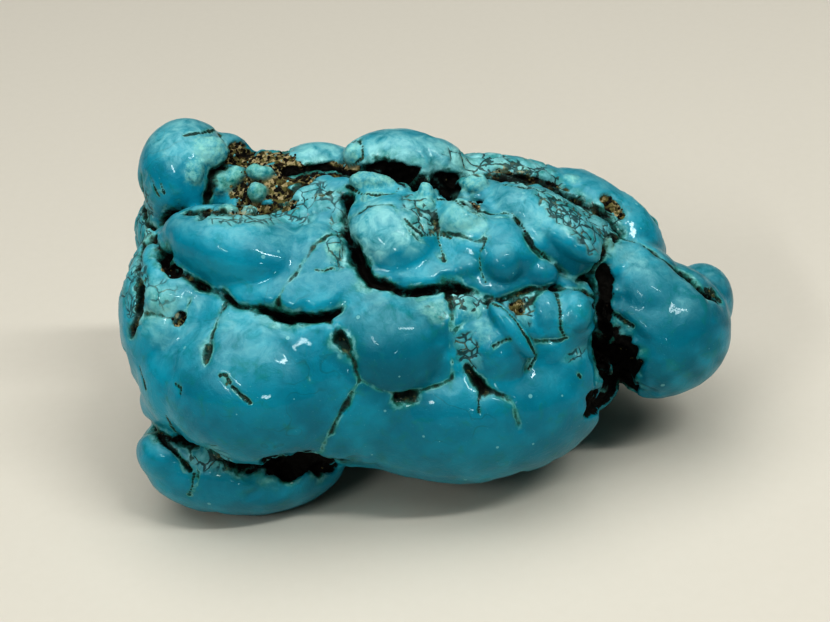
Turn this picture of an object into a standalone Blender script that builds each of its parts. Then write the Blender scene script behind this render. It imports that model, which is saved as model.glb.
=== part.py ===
"""A tumbled, polished nugget of raw turquoise, as one solid.

The nugget is a fist of rounded lumps that grew together. It is laid out like a sculptor's piece: on a
drawing sheet that stands upright in the middle of the stone, square to the eye that looks down on it.
A lump's place is how far it lies across and down the sheet and how near it stands to the eye, and a
seam is a line drawn on the sheet that is then pressed into the stone along the line of sight. The far
side has no drawing, so its seams are the borders of cells that are strewn over it.

Sheet sizes are millimetres. The finished solid is in metres, +Z up, standing on z = 0.
"""

import math

import bmesh
import bpy
import numpy as np
from mathutils import Matrix, Vector
from mathutils.bvhtree import BVHTree

MM = 0.001

# The drawing sheet: its size, the eye that it is seen from, and where its middle stands.
SHEET_WIDTH, SHEET_HEIGHT = 83.0, 62.2
EYE_DISTANCE = 170.0
EYE_LIFT = math.radians(30)  # how far above the horizon the eye is
SHEET_ROLL = math.radians(6)  # the sheet is turned in its own plane
SHEET_MIDDLE = Vector((-1.63, -1.27, 16.65))

# How fine the work is.
SKIN_CELL = 0.35  # edge of the skin's grid where the lumps are fused
FUSE_ROUNDING = 10  # passes that round the creases between lumps
SEAM_ROUNDING = 1  # passes that round the pressed seams
SEAM_STEP = 0.4  # distance between the points that press a seam
SEAM_JUMP = 4.0  # a seam stops where the line of sight jumps further than this from one lump to another
TRIANGLES = 9800  # of the finished solid

# The shoulders that fall towards each seam, as multiples of its width and depth.
SHOULDER_REACH, SHOULDER_SHARE = 3.0, 0.3

# The worn spots that the stone lies on: how deep the lowest bumps are rubbed flat.
REST_WEAR = 0.6

# Lumps: across, down, near, half width, half height, half depth, turn in degrees.
LUMPS = {
    "heart": (40.5, 33.0, 0.0, 24.5, 13.8, 14.0, 0),
    "crown": (44.5, 25.0, 0.0, 21.0, 8.4, 10.5, -9),
    "front": (36.0, 34.0, 4.0, 19.5, 13.0, 10.5, 0),
    "knob": (18.7, 17.4, -2.5, 4.9, 5.6, 5.5, 0),
    "knob_back": (22.6, 15.7, -4.0, 2.9, 2.4, 3.5, 0),
    "knob_neck": (21.0, 23.0, -3.0, 7.5, 7.5, 8.0, 0),
    "saddle": (27.0, 17.5, -3.0, 3.6, 2.7, 4.5, 0),
    "hollow": (29.0, 21.8, -2.0, 7.5, 7.0, 7.5, 0),
    "wedge": (25.3, 25.2, 5.0, 9.5, 5.2, 8.0, -18),
    "wedge_side": (32.0, 27.0, 7.0, 4.5, 5.0, 5.5, 0),
    "cheek": (18.9, 30.8, 1.0, 6.9, 10.6, 9.5, 0),
    "boulder": (26.2, 38.3, 6.5, 10.2, 8.4, 8.5, 0),
    "flank": (18.8, 40.0, 1.0, 4.7, 3.5, 6.5, 0),
    "foot": (24.6, 46.3, 0.0, 10.0, 5.25, 6.5, 2),
    "toe": (17.3, 45.2, 0.5, 3.6, 3.3, 5.0, -20),
    "centre": (39.3, 34.3, 9.5, 6.8, 6.4, 6.4, 0),
    "belly": (46.5, 39.6, 3.5, 14.2, 8.7, 10.0, 3),
    "belly_end": (54.6, 37.2, 3.5, 5.8, 8.2, 7.5, 0),
    "brow": (39.3, 24.4, 8.5, 5.2, 4.9, 5.0, 0),
    "brow_right": (49.5, 25.3, 8.0, 6.5, 4.2, 4.6, -8),
    "brow_chip": (46.3, 22.2, 9.0, 2.9, 2.5, 3.0, 0),
    "oval": (54.6, 23.4, 5.8, 7.2, 4.0, 5.2, -36),
    "crescent": (49.8, 34.5, 10.0, 4.2, 5.0, 4.4, 0),
    "twins": (55.8, 31.8, 7.5, 4.4, 3.8, 4.8, 0),
    "heel": (64.6, 30.4, 0.5, 4.8, 7.4, 7.0, 32),
    "heel_tip": (65.5, 32.9, 0.5, 7.6, 6.95, 7.3, 0),
    "heel_knob": (70.0, 30.2, -3.0, 3.3, 3.9, 4.2, 0),
    "ridge": (40.7, 16.9, 0.5, 6.8, 4.0, 6.0, -8),
    "ridge_left": (32.0, 17.2, -2.5, 4.8, 3.0, 4.5, 0),
    "ridge_right": (51.5, 19.6, -2.5, 8.5, 4.0, 6.5, -14),
    "shoulder": (59.0, 22.4, -3.5, 7.3, 4.6, 6.5, -39),
    "shoulder_end": (61.2, 23.9, -3.0, 5.9, 4.75, 6.0, -42),
    "back_left": (25.5, 28.0, -10.5, 9.5, 9.5, 6.5, 0),
    "back_middle": (39.0, 27.5, -11.5, 10.5, 10.0, 6.5, 0),
    "back_right": (53.5, 30.0, -10.0, 10.5, 8.0, 6.5, -10),
    "back_foot": (35.0, 37.3, -10.3, 12.5, 6.8, 6.3, 0),
    "back_heel": (51.5, 37.3, -8.3, 9.0, 6.2, 6.0, 0),
}

# Seams: width, depth, and the line on the sheet as across and down.
SEAMS = {
    "under_knob": (1.0, 2.0, [(16.0, 22.4), (17.0, 21.5), (18.5, 21.4), (20.3, 21.7), (22.0, 21.3)]),
    "hollow_edge": (1.5, 1.3, [
        (22.0, 21.3), (24.0, 21.1), (26.0, 21.3), (27.5, 20.8), (28.5, 19.3), (30.5, 17.5)]),
    "knob_side": (1.1, 1.6, [
        (21.7, 12.8), (22.6, 14.2), (23.0, 15.8), (21.2, 17.4), (21.0, 19.5), (20.2, 21.5)]),
    "left_cleft": (0.9, 1.8, [(13.9, 17.5), (14.0, 20.5), (14.6, 22.5), (15.4, 24.0), (15.8, 25.6)]),
    "middle_seam": (1.0, 2.3, [
        (15.3, 25.3), (17.6, 27.3), (20.1, 28.6), (22.1, 29.6), (23.8, 30.5), (26.0, 30.5)]),
    "middle_gape": (1.8, 3.9, [
        (26.0, 30.5), (27.3, 31.1), (28.8, 31.9), (31.0, 31.7), (32.8, 31.6), (33.5, 31.0)]),
    "boulder_right": (0.8, 1.6, [
        (32.9, 31.8), (34.4, 34.7), (35.5, 36.5), (35.8, 38.3), (34.1, 41.2), (32.0, 45.6)]),
    "foot_left": (1.1, 2.1, [
        (14.2, 42.6), (16.7, 44.1), (18.5, 44.3), (20.7, 45.3), (22.4, 46.4), (23.8, 47.1)]),
    "foot_gape": (2.1, 4.7, [
        (23.8, 47.1), (26.2, 47.1), (28.2, 46.5), (30.2, 46.0), (32.0, 46.1), (34.5, 46.8)]),
    "foot_split": (0.7, 1.2, [(18.6, 44.3), (19.2, 46.2), (19.8, 47.3), (19.3, 49.5)]),
    "cheek_crack": (0.7, 1.3, [(22.3, 30.4), (21.6, 32.2), (20.9, 34.6), (20.6, 36.6)]),
    "cheek_pocket": (0.8, 1.3, [
        (14.7, 31.3), (16.0, 31.5), (17.4, 31.9), (18.1, 32.3), (18.7, 31.0), (19.0, 30.0)]),
    "left_crack": (0.8, 1.3, [(14.1, 24.5), (13.4, 26.5), (14.1, 30.0), (13.8, 31.3), (12.9, 33.2)]),
    "wedge_right": (0.8, 1.2, [(34.2, 23.4), (32.7, 23.5), (31.8, 24.3), (29.6, 27.0), (27.8, 30.2)]),
    "brow_left": (1.2, 2.6, [
        (34.6, 19.6), (34.3, 20.9), (34.4, 22.5), (34.9, 23.8), (36.0, 26.6), (37.2, 28.0)]),
    "belt": (1.4, 2.9, [(37.2, 28.0), (38.8, 28.4), (40.5, 29.0), (42.2, 29.0), (44.2, 28.6), (46.3, 28.7)]),
    "belt_right": (1.3, 2.6, [
        (46.3, 28.7), (48.4, 29.6), (50.3, 29.9), (53.2, 28.9), (57.3, 28.7), (60.0, 29.8)]),
    "oval_edge": (0.9, 2.0, [
        (46.2, 20.0), (48.8, 21.6), (51.6, 21.7), (53.3, 24.9), (55.7, 26.7), (57.9, 28.0)]),
    "oval_end": (1.1, 2.1, [(57.9, 28.0), (59.5, 27.6), (60.5, 25.5), (61.0, 24.2), (61.8, 23.5)]),
    "great_cleft": (2.4, 6.5, [
        (59.8, 27.8), (60.4, 29.3), (60.7, 31.2), (61.0, 34.5), (61.3, 37.5), (60.8, 41.0)]),
    "heel_top": (0.8, 1.8, [(61.8, 23.5), (64.0, 24.3), (65.4, 25.1), (66.5, 25.9), (67.6, 26.8)]),
    "heel_notch": (1.2, 2.9, [(67.6, 26.8), (69.0, 27.4), (69.7, 28.5), (70.8, 29.2), (71.9, 29.7)]),
    "ridge_trench": (1.6, 2.6, [
        (29.0, 16.6), (31.7, 16.4), (35.7, 17.1), (38.3, 16.4), (40.2, 17.5), (43.3, 18.1)]),
    "ridge_hole": (2.4, 4.2, [(43.6, 18.0), (44.7, 18.4), (45.6, 19.2)]),
    "shoulder_trench": (1.2, 1.8, [
        (45.5, 17.2), (49.3, 17.4), (53.9, 17.8), (57.9, 19.8), (61.0, 21.4), (62.3, 23.2)]),
    "brow_top": (0.7, 1.2, [
        (34.8, 21.8), (36.0, 21.2), (36.8, 20.5), (38.0, 20.3), (39.2, 20.4), (40.3, 22.2)]),
    "brow_right": (0.7, 1.2, [(40.3, 22.2), (41.6, 23.5), (43.2, 24.8), (44.0, 25.8)]),
    "chip_under": (0.7, 1.2, [
        (43.3, 19.6), (43.4, 22.9), (46.0, 23.5), (48.0, 24.2), (48.9, 22.6), (48.6, 21.5)]),
    "centre_right": (0.9, 1.6, [(44.8, 29.2), (45.3, 31.6), (45.0, 33.6), (45.2, 36.0), (45.2, 39.0)]),
    "centre_under": (0.8, 1.3, [(35.9, 38.1), (39.5, 39.6), (41.6, 39.2), (44.2, 38.5), (45.2, 37.8)]),
    "crescent_right": (0.9, 1.6, [
        (48.0, 30.0), (50.2, 30.4), (51.4, 31.6), (52.5, 33.1), (53.5, 35.3), (52.8, 36.9)]),
    "crescent_left": (0.7, 1.2, [(47.6, 30.2), (48.1, 31.6), (46.4, 32.2), (45.4, 33.4)]),
    "crescent_under": (1.0, 1.7, [
        (49.9, 34.2), (47.7, 35.7), (47.0, 37.0), (47.6, 38.6), (50.4, 39.5), (51.8, 41.8)]),
    "twins_edge": (0.9, 1.4, [
        (54.8, 28.8), (52.4, 31.0), (52.1, 32.3), (53.2, 34.0), (55.5, 34.2), (56.7, 33.8)]),
}

# The far side's cells.
CELL_COUNT = 20
CELL_SEED = 7
CELL_SEAM_WIDTH, CELL_SEAM_DEPTH = 1.1, 2.0
STONE_HALVES = Vector((30.0, 16.0, 16.5))  # half length, depth and height that the cells are strewn over


def sheet_axes():
    """The sheet's own right, its own up, and the way towards the eye."""
    towards = Vector((0, -math.cos(EYE_LIFT), math.sin(EYE_LIFT)))
    level, upright = Vector((1, 0, 0)), Vector((0, math.sin(EYE_LIFT), math.cos(EYE_LIFT)))
    right = level * math.cos(SHEET_ROLL) - upright * math.sin(SHEET_ROLL)
    up = level * math.sin(SHEET_ROLL) + upright * math.cos(SHEET_ROLL)
    return right, up, towards


RIGHT, UP, TOWARDS = sheet_axes()
EYE = SHEET_MIDDLE + TOWARDS * EYE_DISTANCE


def on_sheet(across, down):
    """The point of the sheet that lies across and down from its top left corner."""
    return SHEET_MIDDLE + RIGHT * (across - SHEET_WIDTH / 2) + UP * (SHEET_HEIGHT / 2 - down)


def lump_matrix(across, down, near, half_width, half_height, half_depth, turn):
    """Turns a unit ball into a lump whose outline, seen from the eye, is the one drawn on the sheet."""
    shrink = 1 - near / EYE_DISTANCE
    middle = EYE + (on_sheet(across, down) - EYE) * shrink
    axes = Matrix((RIGHT, UP, TOWARDS)).transposed().to_4x4()
    sizes = Matrix.Diagonal((half_width * shrink, half_height * shrink, half_depth, 1))
    return Matrix.Translation(middle) @ axes @ Matrix.Rotation(math.radians(turn), 4, "Z") @ sizes


def linked(name, mesh):
    """A new object of the scene, with this mesh."""
    obj = bpy.data.objects.new(name, mesh)
    bpy.context.scene.collection.objects.link(obj)
    return obj


def evaluated_mesh(obj):
    """The object's mesh with its modifiers applied; the object itself is removed."""
    graph = bpy.context.evaluated_depsgraph_get()
    mesh = bpy.data.meshes.new_from_object(obj.evaluated_get(graph))
    bpy.data.objects.remove(obj)
    return mesh


def reskinned(mesh, rounding):
    """The mesh under one new closed skin of even cells, rounded by a number of smoothing passes."""
    old = linked("old_skin", mesh)
    skin = old.modifiers.new("skin", "REMESH")
    skin.mode, skin.voxel_size = "VOXEL", SKIN_CELL
    smoothing = old.modifiers.new("smoothing", "SMOOTH")
    smoothing.factor, smoothing.iterations = 0.5, rounding
    return evaluated_mesh(old)


def thinned(mesh):
    """The mesh with few faces where it is even, and many where it bends."""
    fine = linked("fine_skin", mesh)
    thinning = fine.modifiers.new("thinning", "DECIMATE")
    thinning.ratio = TRIANGLES / sum(len(face.vertices) - 2 for face in mesh.polygons)
    return evaluated_mesh(fine)


def lump_mesh():
    """All the lumps as separate balls that run through each other."""
    bm = bmesh.new()
    for place in LUMPS.values():
        bmesh.ops.create_icosphere(bm, subdivisions=4, radius=1, matrix=lump_matrix(*place))
    mesh = bpy.data.meshes.new("lumps")
    bm.to_mesh(mesh)
    bm.free()
    return mesh


def spaced(corners, step):
    """Points along a line through the corners, a step apart."""
    corners = np.array(corners)
    along = np.append(0, np.cumsum(np.linalg.norm(np.diff(corners, axis=0), axis=1)))
    stops = np.linspace(0, along[-1], max(2, math.ceil(along[-1] / step)))
    return np.stack([np.interp(stops, along, column) for column in corners.T], axis=1)


def seam_lines(mesh):
    """Each seam's width, depth and the points along it where the line of sight meets the skin."""
    bm = bmesh.new()
    bm.from_mesh(mesh)
    skin = BVHTree.FromBMesh(bm)
    bm.free()
    lines = []
    for width, depth, corners in SEAMS.values():
        sights = [(on_sheet(*place) - EYE).normalized() for place in spaced(corners, SEAM_STEP)]
        hits = [skin.ray_cast(EYE, sight)[0] for sight in sights]
        hits = [hit for hit in hits if hit is not None]
        stretches = [spaced(pair, SEAM_STEP) for pair in zip(hits, hits[1:]) if math.dist(*pair) < SEAM_JUMP]
        lines.append((width, depth, np.concatenate(stretches)))
    return lines


def smooth_step(value, low, high):
    t = np.clip((value - low) / (high - low), 0, 1)
    return t * t * (3 - 2 * t)


def seam_profile(distance, width, depth):
    """How deep the skin is pressed at a distance from a seam: a groove with a long soft shoulder."""
    groove = 1 - np.clip(distance / width, 0, 1)
    shoulder = 1 - smooth_step(distance, 0.0, width * SHOULDER_REACH)
    return depth * ((1 - SHOULDER_SHARE) * groove + SHOULDER_SHARE * shoulder)


def drawn_press(points, lines):
    """How deep the drawn seams press the skin at each point."""
    pressed = np.zeros(len(points))
    for width, depth, line in lines:
        gap = np.full(len(points), np.inf)
        for place in line:
            np.minimum(gap, ((points - place) ** 2).sum(1), out=gap)
        np.maximum(pressed, seam_profile(np.sqrt(gap), width, depth), out=pressed)
    return pressed


def cell_middles():
    """Points strewn evenly over the stone, a golden angle apart, and nudged off their places."""
    order = np.arange(CELL_COUNT) + 0.5
    polar, turn = np.arccos(1 - 2 * order / CELL_COUNT), math.pi * (1 + math.sqrt(5)) * order
    ways = np.stack([np.cos(turn) * np.sin(polar), np.sin(turn) * np.sin(polar), np.cos(polar)], 1)
    nudge = np.random.default_rng(CELL_SEED).normal(0, 0.16, ways.shape)
    return np.array(SHEET_MIDDLE) + (ways + nudge) * np.array(STONE_HALVES)


def strewn_press(points, normals):
    """How deep the borders of the strewn cells press the side that the eye doesn't see."""
    waver = 1.1 * np.sin(points[:, [1, 2, 0]] * 0.55) + 0.5 * np.sin(points[:, [2, 0, 1]] * 1.3)
    away = np.linalg.norm((points + waver)[:, None, :] - cell_middles()[None], axis=2)
    away.sort(axis=1)
    border = (away[:, 1] - away[:, 0]) / 2
    to_eye = np.array(EYE) - points
    facing = (normals * to_eye).sum(1) / np.linalg.norm(to_eye, axis=1)
    hidden = 1 - smooth_step(facing, -0.05, 0.12)
    return hidden * seam_profile(border, CELL_SEAM_WIDTH, CELL_SEAM_DEPTH)


def vertex_values(mesh, name):
    """A vertex property as rows of three numbers."""
    values = np.empty(len(mesh.vertices) * 3)
    mesh.vertices.foreach_get(name, values)
    return values.reshape(-1, 3)


def press_seams(mesh):
    """Presses every seam into the skin, along the skin's own normals."""
    points, normals = vertex_values(mesh, "co"), vertex_values(mesh, "normal")
    pressed = np.maximum(drawn_press(points, seam_lines(mesh)), strewn_press(points, normals))
    mesh.vertices.foreach_set("co", (points - normals * pressed[:, None]).ravel())
    mesh.update()


def stand_up(mesh):
    """Rubs the resting spots flat, centres the stone over its base on z = 0, and turns it to metres."""
    points = vertex_values(mesh, "co")
    points[:, 2] = np.maximum(points[:, 2], points[:, 2].min() + REST_WEAR)
    low, high = points.min(0), points.max(0)
    base = np.array([(low[0] + high[0]) / 2, (low[1] + high[1]) / 2, low[2]])
    mesh.vertices.foreach_set("co", ((points - base) * MM).ravel())
    mesh.update()


def stone_material():
    """Polished turquoise: a deep blue-green with a wet-looking polish."""
    material = bpy.data.materials.new("turquoise")
    material.use_nodes = True
    shader = material.node_tree.nodes["Principled BSDF"]
    shader.inputs["Base Color"].default_value = (0.012, 0.27, 0.36, 1)
    shader.inputs["Roughness"].default_value = 0.22
    shader.inputs["Metallic"].default_value = 0.0
    material.diffuse_color = (0.012, 0.27, 0.36, 1)
    return material


def main():
    for obj in list(bpy.data.objects):
        bpy.data.objects.remove(obj)
    mesh = reskinned(lump_mesh(), FUSE_ROUNDING)
    press_seams(mesh)
    mesh = thinned(reskinned(mesh, SEAM_ROUNDING))
    stand_up(mesh)
    mesh.materials.append(stone_material())
    mesh.shade_smooth()
    linked("turquoise_nugget", mesh)


main()
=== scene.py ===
# %% [markdown]
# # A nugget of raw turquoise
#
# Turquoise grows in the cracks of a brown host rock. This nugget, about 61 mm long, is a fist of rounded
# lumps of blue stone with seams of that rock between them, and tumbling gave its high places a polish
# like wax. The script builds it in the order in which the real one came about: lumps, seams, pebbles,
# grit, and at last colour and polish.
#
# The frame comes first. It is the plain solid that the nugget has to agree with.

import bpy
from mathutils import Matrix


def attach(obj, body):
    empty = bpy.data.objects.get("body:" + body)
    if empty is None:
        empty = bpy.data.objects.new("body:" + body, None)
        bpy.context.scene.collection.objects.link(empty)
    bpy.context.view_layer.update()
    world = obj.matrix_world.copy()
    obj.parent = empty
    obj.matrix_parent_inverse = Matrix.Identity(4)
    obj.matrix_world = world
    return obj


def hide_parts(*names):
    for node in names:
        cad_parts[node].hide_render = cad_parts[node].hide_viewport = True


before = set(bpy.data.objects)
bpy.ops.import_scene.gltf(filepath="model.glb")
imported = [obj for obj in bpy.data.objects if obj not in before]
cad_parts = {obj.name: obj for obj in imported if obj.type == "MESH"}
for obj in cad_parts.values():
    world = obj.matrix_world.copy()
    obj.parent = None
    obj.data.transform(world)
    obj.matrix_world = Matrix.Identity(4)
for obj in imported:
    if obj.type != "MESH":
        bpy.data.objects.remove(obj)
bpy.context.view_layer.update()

# %% The modules
import math

import bmesh
import bpy
import numpy as np
from mathutils import Matrix, Quaternion, Vector
from mathutils.bvhtree import BVHTree

# %% [markdown]
# ## The drawing sheet
#
# A free form like this one is easiest to lay out on paper. So every lump and every seam has its place on
# a drawing sheet of 83.0 by 62.2 mm, which stands upright in the middle of the stone, square to an eye
# that looks down on it from 170 mm away. A place on the sheet is how far it lies across from the left
# and down from the top. The same numbers place the solid, so the two agree.

# %% The sheet and the eye
MM = 0.001
SHEET_WIDTH, SHEET_HEIGHT = 83.0, 62.2
EYE_DISTANCE = 170.0
EYE_LIFT = math.radians(30)
SHEET_ROLL = math.radians(6)
SHEET_MIDDLE = Vector((-1.63, -1.27, 16.65))


def sheet_axes():
    """The sheet's own right, its own up, and the way towards the eye."""
    towards = Vector((0, -math.cos(EYE_LIFT), math.sin(EYE_LIFT)))
    level, upright = Vector((1, 0, 0)), Vector((0, math.sin(EYE_LIFT), math.cos(EYE_LIFT)))
    right = level * math.cos(SHEET_ROLL) - upright * math.sin(SHEET_ROLL)
    up = level * math.sin(SHEET_ROLL) + upright * math.cos(SHEET_ROLL)
    return right, up, towards


RIGHT, UP, TOWARDS = sheet_axes()
SHEET_AXES = Matrix((RIGHT, UP, TOWARDS)).transposed().to_4x4()
EYE = SHEET_MIDDLE + TOWARDS * EYE_DISTANCE


def on_sheet(across, down):
    """The point of the sheet that lies across and down from its top left corner."""
    return SHEET_MIDDLE + RIGHT * (across - SHEET_WIDTH / 2) + UP * (SHEET_HEIGHT / 2 - down)


print("the eye is at, mm:", [round(value, 1) for value in EYE])

# %% [markdown]
# ## Tools for meshes
#
# The stone passes through many steps, each of which turns one mesh into the next. These helpers put a
# mesh in the scene for a moment, let a modifier or a geometry tree work on it, and take the result back
# as a plain mesh, so that nothing live is left over.


# %% Mesh helpers
def linked(name, mesh):
    """A new object of the scene, with this mesh."""
    obj = bpy.data.objects.new(name, mesh)
    bpy.context.scene.collection.objects.link(obj)
    return obj


def mesh_from(name, work):
    """The work in a bmesh as a new mesh."""
    mesh = bpy.data.meshes.new(name)
    work.to_mesh(mesh)
    work.free()
    return mesh


def evaluated_mesh(obj):
    """The object's mesh with its modifiers applied; the object itself is removed."""
    graph = bpy.context.evaluated_depsgraph_get()
    mesh = bpy.data.meshes.new_from_object(obj.evaluated_get(graph))
    bpy.data.objects.remove(obj)
    return mesh


def reskinned(mesh, cell, rounding):
    """The mesh under one new closed skin of even cells, rounded by a number of smoothing passes."""
    old = linked("old_skin", mesh)
    skin = old.modifiers.new("skin", "REMESH")
    skin.mode, skin.voxel_size = "VOXEL", cell
    smoothing = old.modifiers.new("smoothing", "SMOOTH")
    smoothing.factor, smoothing.iterations = 0.5, rounding
    return evaluated_mesh(old)


def vertex_values(mesh, name):
    """A vertex property as rows of three numbers."""
    values = np.empty(len(mesh.vertices) * 3)
    mesh.vertices.foreach_get(name, values)
    return values.reshape(-1, 3)


def keep_values(mesh, name, values):
    """Stores one number for each vertex under this name, in the place of any that it had."""
    if name in mesh.attributes:
        mesh.attributes.remove(mesh.attributes[name])
    mesh.attributes.new(name, "FLOAT", "POINT").data.foreach_set("value", values.ravel())


def kept_values(mesh, name):
    """The numbers that are stored under this name."""
    values = np.empty(len(mesh.vertices))
    mesh.attributes[name].data.foreach_get("value", values)
    return values


# %% [markdown]
# ## Tools for node trees
#
# Geometry trees and materials are both made of nodes. What comes out of a node is wrapped in a Signal
# here, which knows its own tree, so that a sum can be written with plain signs and a tree reads like a
# recipe. Each sign adds one node.


# %% Signals and sums
class Signal:
    """What comes out of a node. Plain signs reckon with it."""

    def __init__(self, socket):
        self.socket, self.tree = socket, socket.id_data

    def __add__(self, other):
        return calc("ADD", self, other)

    def __sub__(self, other):
        return calc("SUBTRACT", self, other)

    def __rsub__(self, other):
        return calc("SUBTRACT", other, self)

    def __mul__(self, other):
        return calc("MULTIPLY", self, other)

    def __truediv__(self, other):
        return calc("DIVIDE", self, other)


def add(tree, kind, inputs=(), **settings):
    """A new node with its settings made, and each input either linked or set to a value."""
    node = tree.nodes.new(kind)
    for name, value in settings.items():
        setattr(node, name, value)
    for name, value in dict(inputs).items():
        if isinstance(value, Signal):
            tree.links.new(value.socket, node.inputs[name])
        else:
            node.inputs[name].default_value = value
    return node


def take(tree, kind, output, inputs=(), **settings):
    """One output of a new node."""
    return Signal(add(tree, kind, inputs, **settings).outputs[output])


def send(signal, goal):
    """Links a signal to an input of another node."""
    signal.tree.links.new(signal.socket, goal)


def calc(operation, *values, clamp=False):
    """The result of one sum, in the tree that its signals come from."""
    tree = next(value.tree for value in values if isinstance(value, Signal))
    return take(tree, "ShaderNodeMath", 0, enumerate(values), operation=operation, use_clamp=clamp)


def left_over(value):
    """What is left of 1 when the value is taken away, but never less than 0."""
    return calc("SUBTRACT", 1.0, value, clamp=True)


# %% Fades, noise and vectors
def faded(value, start, end):
    """0 where the value is at start or before it, 1 at end or after it, and a soft step between."""
    inputs = {"Value": value, "From Min": start, "From Max": end}
    return take(value.tree, "ShaderNodeMapRange", "Result", inputs, interpolation_type="SMOOTHSTEP")


def noise(place, scale, detail=2.0, roughness=0.5, output=0):
    """A cloudy value between 0 and 1, about 0.5 on average."""
    inputs = {"Vector": place, "Scale": scale, "Detail": detail, "Roughness": roughness}
    return take(place.tree, "ShaderNodeTexNoise", output, inputs)


def swing(place, scale, detail=2.0, roughness=0.5):
    """A cloudy value that swings about 0."""
    return noise(place, scale, detail, roughness) - 0.5


def vector_calc(operation, first, *others):
    """The vector that comes out of one vector sum."""
    inputs = enumerate((first, *others))
    return take(first.tree, "ShaderNodeVectorMath", "Vector", inputs, operation=operation)


def scaled(vector, factor):
    """The vector made longer or shorter."""
    inputs = {"Vector": vector, "Scale": factor}
    return take(vector.tree, "ShaderNodeVectorMath", "Vector", inputs, operation="SCALE")


def drifted(place, scale, reach):
    """The place, moved a little to and fro, so that what is drawn there wavers."""
    cloud = vector_calc("SUBTRACT", noise(place, scale, output="Color"), (0.5,) * 3)
    return vector_calc("ADD", place, scaled(cloud, reach))


# %% Trees with inputs of their own
def new_group(name, kind, inputs, outputs):
    """An empty node group: its tree, its inputs as signals, and what its outputs are sent to."""
    tree = bpy.data.node_groups.new(name, kind)
    for label, (socket, value) in inputs.items():
        made = tree.interface.new_socket(label, in_out="INPUT", socket_type="NodeSocket" + socket)
        if value is not None:
            made.default_value = value
    for label, socket in outputs.items():
        tree.interface.new_socket(label, in_out="OUTPUT", socket_type="NodeSocket" + socket)
    given = tree.nodes.new("NodeGroupInput").outputs
    return tree, {label: Signal(given[label]) for label in inputs}, tree.nodes.new("NodeGroupOutput").inputs


def skin_tree(name, inputs, output="skin"):
    """An empty geometry tree that takes a skin and a material, and these inputs between them."""
    sockets = {"skin": ("Geometry", None), **inputs, "material": ("Material", None)}
    return new_group(name, "GeometryNodeTree", sockets, {output: "Geometry"})


def named(tree, name):
    """The number that the points carry under this name, or 0."""
    return take(tree, "GeometryNodeInputNamedAttribute", "Attribute", {"Name": name}, data_type="FLOAT")


def stored(geometry, name, value, kind="FLOAT"):
    """The geometry with this value kept on its points."""
    inputs = {"Geometry": geometry, "Name": name, "Value": value}
    return take(geometry.tree, "GeometryNodeStoreNamedAttribute", "Geometry", inputs, data_type=kind)


def close_tree(geometry, material, goal):
    """Ends a geometry tree: real faces instead of instances, and a material on them."""
    real = take(geometry.tree, "GeometryNodeRealizeInstances", "Geometry", {"Geometry": geometry})
    inputs = {"Geometry": real, "Material": material}
    send(take(geometry.tree, "GeometryNodeSetMaterial", "Geometry", inputs), goal)


def through(mesh, tree, **values):
    """The mesh after it has passed through a geometry tree, whose inputs are set by identifier."""
    obj = linked("in_work", mesh)
    step = obj.modifiers.new("step", "NODES")
    step.node_group = tree
    for item in tree.interface.items_tree:
        if item.item_type == "SOCKET" and item.in_out == "INPUT" and item.name in values:
            step[item.identifier] = values[item.name]
    return evaluated_mesh(obj)


# %% [markdown]
# ## The lumps
#
# The body of the nugget is a pile of balls that run through each other, each one stretched to the size of
# a lump. A voxel remesh lays one skin over the pile, and smoothing passes round the creases between the
# lumps, which is what tumbling did to the real stone.

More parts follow.
